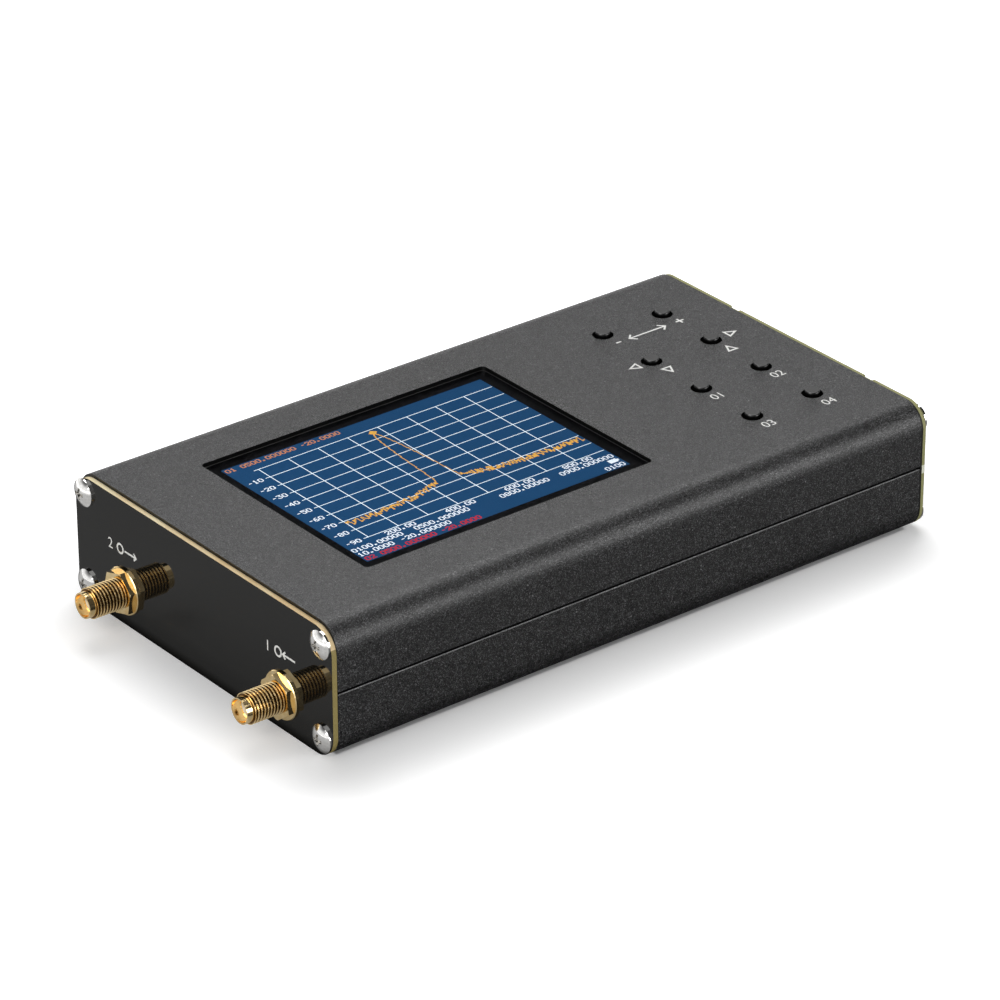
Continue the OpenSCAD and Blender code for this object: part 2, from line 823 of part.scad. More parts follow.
// Wall round the radio circuits with two partitions across it
module shield_frame() {
    color(steel) {
        difference() {
            block([shield_x, 0, main_top], [shield_l, shield_w, shield_h]);
            block([shield_x, 0, main_top - over],
                  [shield_l - 2 * shield_t, shield_w - 2 * shield_t, shield_h + 2 * over]);
        }
        for (part = [-1, 1])
            block([shield_x + part * shield_l / 6, 0, main_top], [shield_t, shield_w, shield_h]);
    }
}

module shield_lid() {
    color(steel) difference() {
        block([shield_x, 0, lid_z - lid_edge_h], [lid_l, lid_w, lid_edge_h + shield_t]);
        block([shield_x, 0, lid_z - lid_edge_h - over],
              [shield_l + 2 * lid_gap, shield_w + 2 * lid_gap, lid_edge_h + over]);
    }
}

// One chip in the middle of each half of the shield's three rooms, and the oscillator's room has one
module rf_chips() {
    color(chip_black)
        for (room = [-1, 0, 1], side = [-1, 1])
            if (room != 1 || side == 1)
                block([shield_x + room * shield_l / 3, side * shield_w / 4, main_top],
                      [rf_chip_l, rf_chip_l, rf_chip_t]);
}

module reference_oscillator() {
    color(steel) block([shield_x + shield_l / 3, -shield_w / 4, main_top],
                       [oscillator_l, oscillator_w, oscillator_h]);
}

module processor_chip() {
    lead_step = processor_l / (lead_count + 1);
    color(chip_black) translate([half_l - processor_in_x, processor_y, main_top]) {
        block([0, 0, 0], [processor_l, processor_l, processor_t]);
        for (turn = [0, 90], i = [1 : lead_count])
            rotate(turn) block([0, i * lead_step - processor_l / 2, 0],
                               [processor_l + 2 * lead_l, lead_w, lead_h]);
    }
}

module charger_chip() {
    color(chip_black) block([charger_x, charger_y - coil_l, main_top], [coil_l, charger_chip_w, rf_chip_t]);
}

// Coil in a square block with a round drum on top
module charger_coil() {
    color(chip_black) {
        block([charger_x, charger_y, main_top], [coil_l, coil_l, coil_h / 2]);
        translate([charger_x, charger_y, main_top]) cylinder(d = coil_l, h = coil_h);
    }
}

// Link between the boards

module at_link_pins() {
    for (row = [-0.5, 0.5], i = [0 : link_pins_n - 1])
        translate([link_x + row * link_pitch, (i - (link_pins_n - 1) / 2) * link_pitch, 0]) children();
}

module link_socket() {
    color(chip_black) difference() {
        block([link_x, 0, main_top], [link_l, link_w, link_header_z - main_top]);
        at_link_pins() block([0, 0, link_header_z - link_pin_in - link_pin_gap],
                             [link_pin_w + 2 * link_pin_gap, link_pin_w + 2 * link_pin_gap, case_h]);
    }
}

module link_header() {
    color(chip_black) difference() {
        block([link_x, 0, link_header_z], [link_l, link_w, link_header_h]);
        at_link_pins()
            block([0, 0, link_header_z - over], [link_pin_w, link_pin_w, link_header_h + 2 * over]);
    }
}

module link_pins() {
    color(gold) at_link_pins()
        block([0, 0, link_header_z - link_pin_in], [link_pin_w, link_pin_w, link_header_h + link_pin_in]);
}

// Battery

module battery_pad() {
    color(plastic_white) block([battery_x, 0, pad_z],
                               [battery_l - 2 * pad_in, battery_w - 2 * pad_in, pad_t]);
}

module battery_cell() {
    color(foil_silver) along_x(battery_x - battery_l / 2, battery_l)
        translate([0, battery_z]) round_rect(battery_w, battery_t, battery_r);
}

module battery_socket() {
    color(plastic_white) difference() {
        block([plug_x, plug_y, main_top],
              [plug_l + 2 * (plug_gap + plug_wall), plug_w + 2 * (plug_gap + plug_wall), plug_socket_h]);
        block([plug_x, plug_y, main_top + plug_wall],
              [plug_l + 2 * plug_gap, plug_w + 2 * plug_gap, plug_socket_h]);
    }
}

module battery_plug() {
    color(plastic_white) block([plug_x, plug_y, main_top + plug_wall], [plug_l, plug_w, plug_h - plug_wall]);
}

// A lead comes straight out of the battery's end and turns down into the top of the plug
module battery_lead(side) {
    translate([0, plug_y + side * wire_pitch / 2, 0]) {
        translate([battery_end, 0, wire_z]) rotate([0, 90, 0])
            cylinder(r = wire_r, h = plug_x - wire_bend - battery_end);
        translate([plug_x - wire_bend, 0, plug_top]) rotate([90, 0, 0]) rotate_extrude(angle = 90)
            translate([wire_bend, 0]) circle(wire_r);
    }
}

module battery_lead_red() {
    color("firebrick") battery_lead(1);
}

module battery_lead_black() {
    color(key_black) battery_lead(-1);
}

// Aerial sockets, drawn at the origin and pointing outwards along Z from the panel's outer face

module at_output() {
    on_left_panel() translate([jack_y, jack_z, 0]) children();
}

module at_input() {
    on_left_panel() translate([-jack_y, jack_z, 0]) children();
}

// The thread is cut as a row of ridges, each with sloping flanks and a flat crest
module jack_thread() {
    ridges = floor(thread_l / thread_pitch);
    start = thread_l - ridges * thread_pitch;
    root_r = jack_r - thread_d;
    rotate_extrude() polygon(concat(
        [[0, -panel_t], [jack_r, -panel_t], [jack_r, start]],
        [for (i = [0 : ridges - 1], point = [
            [root_r, thread_flank],
            [root_r, thread_pitch - thread_flank - thread_crest],
            [jack_r, thread_pitch - thread_crest],
            [jack_r, thread_pitch]
        ]) point + [0, start + i * thread_pitch]],
        [[tip_r, thread_l], [tip_r, jack_l], [0, jack_l]]
    ));
}

module jack_body() {
    leg_place = flange_w / 2 - leg_w / 2;
    color(gold) difference() {
        union() {
            jack_thread();
            block([0, 0, flange_back], [flange_w, flange_w, flange_t]);
            for (x = [-leg_place, leg_place], z = [main_top + solder_t, main_z - solder_t - leg_w])
                translate([x - leg_w / 2, z - jack_z, flange_back - leg_l])
                    cube([leg_w, leg_w, leg_l + flange_t]);
        }
        translate([0, 0, flange_back - over]) cylinder(r = insulator_r + insulator_gap, h = jack_bore_l);
        translate([0, 0, jack_face]) cylinder(r = mouth_r, h = mouth_d + over);
    }
}

module jack_insulator() {
    color(plastic_white) difference() {
        translate([0, 0, flange_back]) cylinder(r = insulator_r, h = jack_face - flange_back);
        translate([0, 0, flange_back - over]) cylinder(r = contact_r + insulator_gap, h = jack_bore_l);
    }
}

module jack_contact() {
    color(gold) difference() {
        union() {
            translate([0, 0, flange_back]) cylinder(r = contact_r, h = jack_face - flange_back);
            translate([0, 0, flange_back - tail_l]) cylinder(r = tail_r, h = tail_l + over);
        }
        translate([0, 0, jack_face - contact_hole_d]) cylinder(r = contact_hole_r, h = contact_hole_d + over);
        block([0, 0, jack_face - contact_hole_d], [contact_slot_w, 2 * mouth_r, contact_hole_d + over]);
    }
}

module jack_washer() {
    washer_in = jack_r + nut_gap;
    color(gold) difference() {
        rotate_extrude() polygon([
            [0, 0], [washer_r, 0], [washer_r, washer_t - washer_bevel],
            [washer_r - washer_bevel, washer_t], [0, washer_t]
        ]);
        translate([0, 0, -over]) cylinder(r = washer_in, h = washer_t + 2 * over);
        for (i = [1 : washer_teeth])
            rotate(i * 360 / washer_teeth)
                block([washer_in, 0, -over], [2 * washer_slot_l, washer_slot_w, washer_t + 2 * over]);
    }
}

// Six-sided nut with its outer corners turned down to a round face
module jack_nut(turn) {
    point_r = nut_af / 2 / cos(30);
    face_r = nut_af / 2 + nut_round;
    cone_r = point_r + over;
    color(gold) translate([0, 0, washer_t]) difference() {
        intersection() {
            rotate(turn) linear_extrude(nut_t) circle(point_r, $fn = 6);
            rotate_extrude() polygon([
                [0, -over], [cone_r, -over], [cone_r, nut_t - (cone_r - face_r) * tan(nut_bevel_angle)],
                [face_r, nut_t], [0, nut_t]
            ]);
        }
        translate([0, 0, -over]) cylinder(r = jack_r + nut_gap, h = nut_t + 2 * over);
    }
}

module output_jack_body() { at_output() jack_body(); }
module output_jack_insulator() { at_output() jack_insulator(); }
module output_jack_contact() { at_output() jack_contact(); }
module output_jack_washer() { at_output() jack_washer(); }
module output_jack_nut() { at_output() jack_nut(output_nut_turn); }
module input_jack_body() { at_input() jack_body(); }
module input_jack_insulator() { at_input() jack_insulator(); }
module input_jack_contact() { at_input() jack_contact(); }
module input_jack_washer() { at_input() jack_washer(); }
module input_jack_nut() { at_input() jack_nut(input_nut_turn); }

// Power end

// Outline of the charging socket, narrower at the bottom, standing on Y = 0
module usb_profile(w, h) {
    polygon([
        [-w / 2 + usb_taper, 0], [w / 2 - usb_taper, 0], [w / 2, h / 2],
        [w / 2, h], [-w / 2, h], [-w / 2, h / 2]
    ]);
}

module usb_shell() {
    usb_x = half_l + panel_t - usb_l;
    color(nickel) translate([0, usb_y, 0]) difference() {
        along_x(usb_x, usb_l) translate([0, main_top]) usb_profile(usb_w, usb_h);
        along_x(usb_x + usb_t, usb_l)
            translate([0, main_top + usb_t]) usb_profile(usb_w - 2 * usb_t, usb_h - 2 * usb_t);
    }
}

// Block at the back of the socket with the tongue standing out of it
module usb_tongue() {
    block_x = half_l + panel_t - usb_l + usb_t;
    color(key_black) translate([0, usb_y, 0]) {
        along_x(block_x, usb_block_l)
            translate([0, main_top + usb_t]) usb_profile(usb_w - 2 * usb_t, usb_h - 2 * usb_t);
        along_x(block_x, usb_l - usb_t - usb_tongue_in)
            translate([-usb_tongue_w / 2, main_top + usb_h / 2 - usb_tongue_t / 2])
                square([usb_tongue_w, usb_tongue_t]);
    }
}

module power_switch_case() {
    mouth_w = knob_w + slider_travel + 2 * slider_gap;
    room_w = foot_w + slider_travel + 2 * slider_gap;
    room_x = foot_x - slider_gap;
    color(steel) difference() {
        translate([power_x, power_y - power_w / 2, main_top]) cube([power_l, power_w, power_h]);
        translate([room_x, power_y - room_w / 2, power_z - foot_h / 2 - slider_gap])
            cube([slider_foot_l + 2 * slider_gap, room_w, foot_h + 2 * slider_gap]);
        translate([room_x, power_y - mouth_w / 2, power_z - knob_h / 2 - slider_gap])
            cube([power_l, mouth_w, knob_h + 2 * slider_gap]);
    }
}

// Slider at the off end of its travel
module power_slider() {
    slider_y = power_y - slider_travel / 2;
    knob_end = half_l + panel_t + knob_proud;
    color(key_black) {
        translate([foot_x, slider_y - foot_w / 2, power_z - foot_h / 2])
            cube([slider_foot_l, foot_w, foot_h]);
        translate([foot_x, slider_y - knob_w / 2, power_z - knob_h / 2])
            cube([knob_end - foot_x, knob_w, knob_h]);
    }
}

// Round light behind the panel with its two legs bent down to the board
module charge_light() {
    collar_x = half_l - board_end_gap - light_collar_l;
    tip_x = half_l + panel_t + light_proud;
    color("orangered") translate([0, light_y, main_top + light_z]) {
        translate([collar_x, 0, 0]) rotate([0, 90, 0]) cylinder(r = light_collar_r, h = light_collar_l);
        translate([collar_x, 0, 0]) rotate([0, 90, 0]) cylinder(r = light_r, h = tip_x - light_r - collar_x);
        translate([tip_x - light_r, 0, 0]) sphere(light_r);
        for (side = [-1, 1])
            translate([collar_x - light_leg_w, side * light_leg_pitch / 2 - light_leg_w / 2, -light_z])
                cube([light_leg_w, light_leg_w, light_z + light_leg_w]);
    }
}

lower_shell();
upper_shell();
left_panel();
right_panel();
left_panel_screws();
right_panel_screws();
window_gasket();
cover_glass();
display_cell();
display_backlight();
display_tray();
display_tape();
display_ribbon();
ribbon_socket();
front_board();
switch_housings();
switch_covers();
switch_domes();
key_1();
key_2();
key_3();
key_4();
key_5();
key_6();
key_7();
key_8();
main_board();
shield_frame();
shield_lid();
rf_chips();
reference_oscillator();
processor_chip();
charger_chip();
charger_coil();
link_socket();
link_header();
link_pins();
battery_cell();
battery_pad();
battery_socket();
battery_plug();
battery_lead_red();
battery_lead_black();
output_jack_body();
output_jack_insulator();
output_jack_contact();
output_jack_washer();
output_jack_nut();
input_jack_body();
input_jack_insulator();
input_jack_contact();
input_jack_washer();
input_jack_nut();
usb_shell();
usb_tongue();
power_switch_case();
power_slider();
charge_light();
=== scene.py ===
"""Looks of a handheld spectrum analyzer: finishes, the lit screen, printed signs, light and camera."""

import json
import math
import random

import bmesh
import bpy
from mathutils import Matrix, Vector


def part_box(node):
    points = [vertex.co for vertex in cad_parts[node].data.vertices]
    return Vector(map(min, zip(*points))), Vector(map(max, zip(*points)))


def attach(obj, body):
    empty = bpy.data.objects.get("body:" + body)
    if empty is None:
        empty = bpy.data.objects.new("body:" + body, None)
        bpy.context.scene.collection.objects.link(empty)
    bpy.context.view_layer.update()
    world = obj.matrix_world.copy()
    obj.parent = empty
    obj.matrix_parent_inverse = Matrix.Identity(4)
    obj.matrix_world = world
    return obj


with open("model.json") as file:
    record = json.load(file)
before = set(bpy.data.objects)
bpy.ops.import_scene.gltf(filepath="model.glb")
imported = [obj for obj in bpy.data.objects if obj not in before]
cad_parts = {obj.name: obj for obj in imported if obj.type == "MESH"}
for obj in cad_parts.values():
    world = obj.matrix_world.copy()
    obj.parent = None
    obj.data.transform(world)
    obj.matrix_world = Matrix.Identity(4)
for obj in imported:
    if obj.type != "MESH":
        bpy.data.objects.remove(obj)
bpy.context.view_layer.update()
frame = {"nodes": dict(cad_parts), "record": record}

MM = 0.001

# Camera: where it stands, its lens and the shift of its frame
CAMERA_AZIMUTH = -38.350
CAMERA_ELEVATION = 27.787
CAMERA_ROLL = -0.100
CAMERA_DISTANCE = 987.929 * MM
CAMERA_TARGET = Vector((0, 0, 13.5 * MM))
CAMERA_LENS = 185.128
CAMERA_SENSOR = 36
CAMERA_SHIFT = (-0.00583, -0.0002)

# Window and picture: the glass, the picture's size and place, its dots and its thin layers
GLASS_LAP = 2.0 * MM
PICTURE_L = 62.3 * MM
PICTURE_W = 46.0 * MM
PICTURE_SHIFT = (0.14 * MM, 0.63 * MM)
LCD_COLUMNS = 320
LCD_ROWS = 240
LCD_DOT = Vector((PICTURE_L / LCD_COLUMNS, PICTURE_W / LCD_ROWS))
SHEET_T = 0.02 * MM
MASK_REACH = 1.5 * MM

# Lit picture: gaps between the dots, their share of the light, the unlit colour and the fade to the right
LCD_GAP = 0.12
GAP_LIGHT = 0.75
UNLIT = 0.2
PICTURE_FADE = (1.05, 0.93)

# Graph on the screen, in dots of the display: grid, trace with its peak and noise, and the peak's marker
GRAPH_LEFT = 30
GRAPH_TOP = 20
DIVISION = (36.14, 20)
DIVISIONS = (8, 9)
TICK = 5
LINE_W = 0.85
PEAK_COLUMN = 164
PEAK_ROW = 30
PEAK_STEEP = 0.69
FLOOR_ROW = 167
SKIRT = 28
SKIRT_W = 30
BEND = 5
NOISE = 5.2
NOISE_QUIET = 0.65
NOISE_W = 22
NOISE_SEED = 4
TRACE = (0.95, 1.1)
MARKER = (5, 4)
MARKER_RISE = 3

# Printed signs: height of the ink, of a line under another and of what is sunk, then line and figure sizes
INK_T = 0.012 * MM
INK_UNDER = 0.009 * MM
INK_SUNK = 0.004 * MM
INK_LINE = 0.40 * MM
SIGN_H = 2.3 * MM
FONT_CAP = 0.73
FONT_STEPS = 4

# Signs beside the keys, measured from the keys. A triangle has its column, its place and its turn
KEY_DROP = 4.6 * MM
MINUS_X = 0.3 * MM
MINUS_HALF = 0.6 * MM
PLUS_X = 0.7 * MM
PLUS_HALF = 1.0 * MM
ARROW_HALF = 4.6 * MM
ARROW_HEAD = 1.2 * MM
TRIANGLE = 2.5 * MM
TRIANGLES = (
    (0, -4.4 * MM, 0, 180),
    (1, 5.2 * MM, 0, 0),
    (0, 0.35 * MM, -5.05 * MM, 270),
    (1, 0.5 * MM, -5.05 * MM, 90),
)
FIGURES_AT = (0.3 * MM, -4.4 * MM)

# Signs on the end panels, measured from the sockets and the power switch
SOCKET_RISE = 8.6 * MM
SOCKET_FIGURE_X = -4.2 * MM
RING_X = -1.0 * MM
RING_R = 0.95 * MM
RING_STEPS = 24
RING_GAP = 0.5 * MM
PORT_REACH = 5.2 * MM
PORT_HEAD = 0.75 * MM
SWITCH_SIDE = 2.2 * MM
SWITCH_RISE = 5.2 * MM

# Case: sand with its contrast and colours, faint clouds, rare bright specks painted as glints, gloss and the
# blasted surface
SAND = 0.16 * MM
SAND_POWER = 5
SAND_COLOURS = ((0.002, 0.002, 0.002), (0.145, 0.145, 0.148))
CLOUD = 9 * MM
CLOUD_SHARE = 0.2
CLOUD_COLOUR = (0.012, 0.012, 0.0125)
SPECK = 0.55 * MM
SPECK_RARE = 0.994
SPECK_R = 0.3
GLINT_SPECK_COLOUR = (0.20, 0.20, 0.20)
CASE_ROUGH = (0.22, 0.60)
# Black painted as shade on the sawn ends, in the parting groove and on the walls of the window and key holes
CASE_SHADE_BLACK = (0.004, 0.004, 0.004)
DEEP_GLOSS = 0.2
BLAST = 0.22 * MM
BLAST_DEPTH = 0.08 * MM

# Parting line: a painted highlight on the lip of the lower shell, and painted shade in the dark groove over
# it
LIP = (0.19 * MM, 0.04 * MM)
GROOVE_IN = (0.20 * MM, 0.62 * MM)
GROOVE_H = 0.17 * MM
LIP_SLOPE = (0.5, 0.9)
LIP_HIGHLIGHT_COLOURS = ((0.10, 0.10, 0.10), (0.34, 0.34, 0.34))

# Walls this far inside the case's sides are those of the window and the key holes, which are painted black
# as shade
HOLE_IN = 6 * MM
WALL_SLOPE = (-0.5, 0.5)

# Aerial sockets: plain tip before the thread, the thread's radii, the top of its valleys, satin and plate,
# and painted shade in the valleys
TIP_L = 1.45 * MM
THREAD_R = (2.45 * MM, 3.2 * MM)
VALLEY_R = 2.92 * MM
THREAD_SATIN = 2.2
PLATE_CLOUD = 1.2 * MM
PLATE_GRAIN = 0.4 * MM
PLATE_DEPTH = 0.004 * MM
PLATE_COLOURS = ((0.90, 0.64, 0.29), (0.98, 0.78, 0.44))
VALLEY_SHADE_COLOURS = ((0.10, 0.045, 0.010), (0.20, 0.10, 0.025))

# End panels: the bare core starts this far from the inner face and ends at the outer mask; the band before
# it is painted black as shade of the gap against the case. The right panel has a pale stub on its near edge,
# where it was broken off
SHADE_BAND_IN = {"left": 0.10 * MM, "right": 0.48 * MM}
MASK_T = 0.04 * MM
STUB = (12.6 * MM, 14.4 * MM)
STUB_COLOUR = (0.80, 0.80, 0.66)
LAYER = 0.5 * MM
LAYER_STRETCH = (8, 1, 1)
PATCH = 9 * MM
# Slope of the left panel's upward cut edges, which are painted paler as light from above
LIT_UPWARD = (0.3, 1.1)
NEAR_SIDE = (-1.1, -0.9)
EDGE_COLOURS = {
    "brown": ((0.22, 0.175, 0.06), (0.40, 0.32, 0.12)),
    "olive": ((0.24, 0.235, 0.10), (0.42, 0.41, 0.19)),
    "warm": ((0.66, 0.45, 0.21), (0.86, 0.63, 0.33)),
    "pale": ((0.86, 0.72, 0.42), (1.00, 0.88, 0.60)),
}
MASK_COLOURS = ((0.0036, 0.0035, 0.003), (0.007, 0.0068, 0.0055))
EDGE_ROUGH = 0.6
MASK_ROUGH = 0.035
MASK_GRAIN = 0.3 * MM
MASK_WAVE = 3 * MM
MASK_DEPTH = 0.002 * MM

# Keys: colour and gloss of the walls, painted darker as shade, and of the satin tops
KEY_GRAIN = 0.35 * MM
KEY_DEPTH = 0.02 * MM
KEY_WALL_SHADE = (0.002, 0.002, 0.002)
KEY_TOP = ((0.008, 0.008, 0.008), (0.030, 0.030, 0.030))
KEY_ROUGH = (0.16, 0.42)

# Cover glass: faint smudges
SMUDGE = 7 * MM
SMUDGE_SPAN = (0.45, 0.75)
SMUDGE_ROUGH = (0.0, 0.03)

# Tracks of the ribbon and the boards: pitch, share of it, height and colours without and with a track
RIBBON_PITCH = 1.0 * MM
RIBBON_SHARE = 0.45
RIBBON_DEPTH = 0.01 * MM
RIBBON_COLOURS = ((0.42, 0.17, 0.03), (0.55, 0.28, 0.08))
BOARD_PITCH = 1.3 * MM
BOARD_SHARE = 0.3
BOARD_DEPTH = 0.02 * MM
BOARD_COLOURS = ((0.01, 0.07, 0.03), (0.02, 0.13, 0.05))
BOARD_FIELD = 9 * MM
BOARD_CLOUD = 2 * MM
BOARD_ROUGH = (0.25, 0.4)

# Range that a noise mostly covers, size of the clouds in a grain's gloss, and height of brushed lines
GRAIN_SPAN = (0.3, 0.7)
GLOSS_CLOUD = 4
BRUSH_DEPTH = 0.004 * MM


def middle(node):
    low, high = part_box(node)
    return (low + high) / 2


case_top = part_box("upper_shell")[1].z
case_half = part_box("upper_shell")[1].y
split_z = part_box("upper_shell")[0].z
left_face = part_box("left_panel")[0].x
right_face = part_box("right_panel")[1].x
glass_low, glass_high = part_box("cover_glass")
picture_x = middle("cover_glass").x + PICTURE_SHIFT[0]
picture_y = middle("cover_glass").y + PICTURE_SHIFT[1]


# Camera

def place_camera():
    azimuth = math.radians(CAMERA_AZIMUTH)
    elevation = math.radians(CAMERA_ELEVATION)
    back = Vector((
        math.sin(azimuth) * math.cos(elevation),
        -math.cos(azimuth) * math.cos(elevation),
        math.sin(elevation),
    ))
    data = bpy.data.cameras.new("camera")
    data.sensor_width = CAMERA_SENSOR
    data.lens = CAMERA_LENS
    data.shift_x, data.shift_y = CAMERA_SHIFT
    camera = bpy.data.objects.new("camera", data)
    bpy.context.scene.collection.objects.link(camera)
    turn = back.to_track_quat("Z", "Y") @ Matrix.Rotation(math.radians(CAMERA_ROLL), 3, "Z").to_quaternion()
    camera.rotation_mode = "QUATERNION"
    camera.rotation_quaternion = turn
    camera.location = CAMERA_TARGET + back * CAMERA_DISTANCE
    bpy.context.scene.camera = camera


place_camera()


# Materials

class Paint:
    """The nodes of one material. Sizes are in metres in the frame's own coordinates."""

    def __init__(self, name):
        self.material = bpy.data.materials.new(name)
        self.material.use_nodes = True
        self.tree = self.material.node_tree
        self.shader = self.tree.nodes["Principled BSDF"]
        self.place = self.add("TexCoord").outputs["Object"]

    def add(self, kind, **inputs):
        node = self.tree.nodes.new("ShaderNode" + kind)
        return self.feed(node, **inputs)

    def feed(self, node, **inputs):
        for name, value in inputs.items():
            socket = node.inputs[name.replace("_", " ")]
            if isinstance(value, bpy.types.NodeSocket):
                self.tree.links.new(value, socket)
            else:
                socket.default_value = value
        return node

    def set(self, **inputs):
        self.feed(self.shader, **inputs)
        return self

    def stretched(self, scale):
        return self.add("Mapping", Vector=self.place, Scale=scale).outputs["Vector"]

    def axis(self, letter):
        return self.add("SeparateXYZ", Vector=self.place).outputs[letter]

    def faces(self, letter, limit=0.9):
        """1 on faces that look along an axis, either way."""
        return self.math("GREATER_THAN", self.math("ABSOLUTE", self.slope(letter)), limit)

    def phase(self, letter, pitch):
        """Place within each pitch along an axis, from 0 to 1."""
        return self.math("FRACT", self.math("DIVIDE", self.axis(letter), pitch))

    def slope(self, letter):
        """How far a face looks along an axis, from -1 to 1."""
        normal = self.add("NewGeometry").outputs["Normal"]
        return self.add("SeparateXYZ", Vector=normal).outputs[letter]

    def looks(self, letter, low, high):
        """1 on faces whose normal along an axis lies between two values."""
        return self.between(self.slope(letter), low, high)

    def between(self, value, low, high):
        above = self.math("GREATER_THAN", value, low)
        return self.math("MULTIPLY", above, self.math("LESS_THAN", value, high))

    def noise(self, size, detail=2.0, place=None):
        return self.add("TexNoise", Vector=place or self.place, Scale=1 / size, Detail=detail).outputs["Fac"]

    def cells(self, size):
        return self.add("TexVoronoi", Vector=self.place, Scale=1 / size)

    def math(self, operation, first, second=0.0):
        return self.calculate("ShaderNodeMath", operation, first, second).outputs["Value"]

    def vector(self, operation, first, second=(0, 0, 0)):
        return self.calculate("ShaderNodeVectorMath", operation, first, second).outputs["Vector"]

    def calculate(self, kind, operation, first, second):
        node = self.tree.nodes.new(kind)
        node.operation = operation
        for socket, value in zip(node.inputs, (first, second)):
            if isinstance(value, bpy.types.NodeSocket):
                self.tree.links.new(value, socket)
            else:
                socket.default_value = value
        return node

    def span(self, value, low, high, start=0.0, end=1.0):
        node = self.add("MapRange", Value=value, From_Min=start, From_Max=end, To_Min=low, To_Max=high)
        return node.outputs["Result"]

    def ramp(self, value, low, high, start=GRAIN_SPAN[0], end=GRAIN_SPAN[1]):
        node = self.add("ValToRGB", Fac=value)
        for element, place, colour in zip(node.color_ramp.elements, (start, end), (low, high)):
            element.position = place
            element.color = (*colour, 1)
        return node.outputs["Color"]

    def mix(self, share, first, second):
        return self.add("MixRGB", Fac=share, Color1=first, Color2=second).outputs["Color"]

    def bump(self, height, depth):
        self.set(Normal=self.add("Bump", Height=height, Distance=depth).outputs["Normal"])
        return self


def solid(colour):
    return (*colour, 1)


def grained(name, dark, light, size, rough, depth, **shader):
    """A surface whose colour, gloss and height vary a little with a grain of one size."""
    paint = Paint(name)
    grain = paint.noise(size)
    paint.set(
        Base_Color=paint.ramp(grain, dark, light),
        Roughness=paint.span(paint.noise(GLOSS_CLOUD * size), *rough, *GRAIN_SPAN),
        **shader,
    )
    return paint.bump(grain, depth)


def brushed(name, dark, light, rough, lines=(30, 1, 1), size=3 * MM):
    """Metal with fine lines along one axis."""
    paint = Paint(name)
    grain = paint.noise(size, 4, paint.stretched(lines))
    paint.set(
        Base_Color=paint.ramp(grain, dark, light),
        Roughness=paint.span(grain, *rough, *GRAIN_SPAN),
        Metallic=1.0,
    )
    return paint.bump(grain, BRUSH_DEPTH)


def parting_line(paint, base, tint):
    """Paints a highlight on the lip where the two shells meet, and masks the dark groove over it, which is
    painted black as shade.
    """
    height = paint.axis("Z")
    inward = paint.math("SUBTRACT", case_half, paint.math("ABSOLUTE", paint.axis("Y")))
    lip = paint.between(height, split_z - LIP[0], split_z - LIP[1])
    lit_lip = paint.math("MULTIPLY", lip, paint.looks("Z", *LIP_SLOPE))
    # Painted highlight: the lip's upward slope is made paler, as if it catches the light
    base = paint.mix(lit_lip, base, paint.ramp(tint, *LIP_HIGHLIGHT_COLOURS, 0.0, 1.0))
    # Painted shade: the inside of the groove is masked so that it is painted black
    groove = paint.between(height, split_z - LIP[1], split_z + GROOVE_H)
    return base, paint.math("MULTIPLY", groove, paint.between(inward, *GROOVE_IN))


def case_glint_specks(paint):
    """1 on a few small specks, which are painted bright as glints."""
    cells = paint.cells(SPECK)
    luck = paint.add("SeparateColor", Color=cells.outputs["Color"]).outputs["Red"]
    rare = paint.math("GREATER_THAN", luck, SPECK_RARE)
    return paint.math("MULTIPLY", rare, paint.math("LESS_THAN", cells.outputs["Distance"], SPECK_R))


def case_walls(paint):
    """1 on the walls of the window and the key holes, where black is painted as shade."""
    inside = paint.math("LESS_THAN", paint.math("ABSOLUTE", paint.axis("Y")), case_half - HOLE_IN)
    return paint.math("MULTIPLY", inside, paint.looks("Z", *WALL_SLOPE))


def case_grey():
    """Blasted and dyed metal: sandy grain, a few bright specks painted as glints, the parting line, and
    black painted as shade on the sawn ends, in the groove and on the walls of the window and key holes.
    """
    paint = Paint("case_grey")
    grain = paint.add("SeparateColor", Color=paint.cells(SAND).outputs["Color"])
    sand = paint.math("POWER", grain.outputs["Red"], SAND_POWER)
    clouds = paint.span(paint.noise(CLOUD), 0.0, CLOUD_SHARE, *GRAIN_SPAN)
    base = paint.ramp(sand, *SAND_COLOURS, 0.0, 1.0)
    base = paint.mix(clouds, base, solid(CLOUD_COLOUR))
    # Painted glints: a few specks are painted bright
    base = paint.mix(case_glint_specks(paint), base, solid(GLINT_SPECK_COLOUR))
    base, groove = parting_line(paint, base, grain.outputs["Green"])
    # Painted shade: the groove, the walls of the window and key holes, and the sawn ends are painted black
    deep = paint.math("MAXIMUM", groove, case_walls(paint))
    black = paint.math("MAXIMUM", paint.faces("X"), deep)
    rough = paint.span(grain.outputs["Blue"], *CASE_ROUGH)
    paint.set(
        Base_Color=paint.mix(black, base, solid(CASE_SHADE_BLACK)),
        Roughness=paint.math("MULTIPLY", rough, paint.span(deep, 1.0, DEEP_GLOSS)),
        Specular_IOR_Level=0.4,
    )
    rise = paint.math("MULTIPLY", paint.noise(BLAST, 3), paint.math("SUBTRACT", 1.0, deep))
    return paint.bump(rise, BLAST_DEPTH)


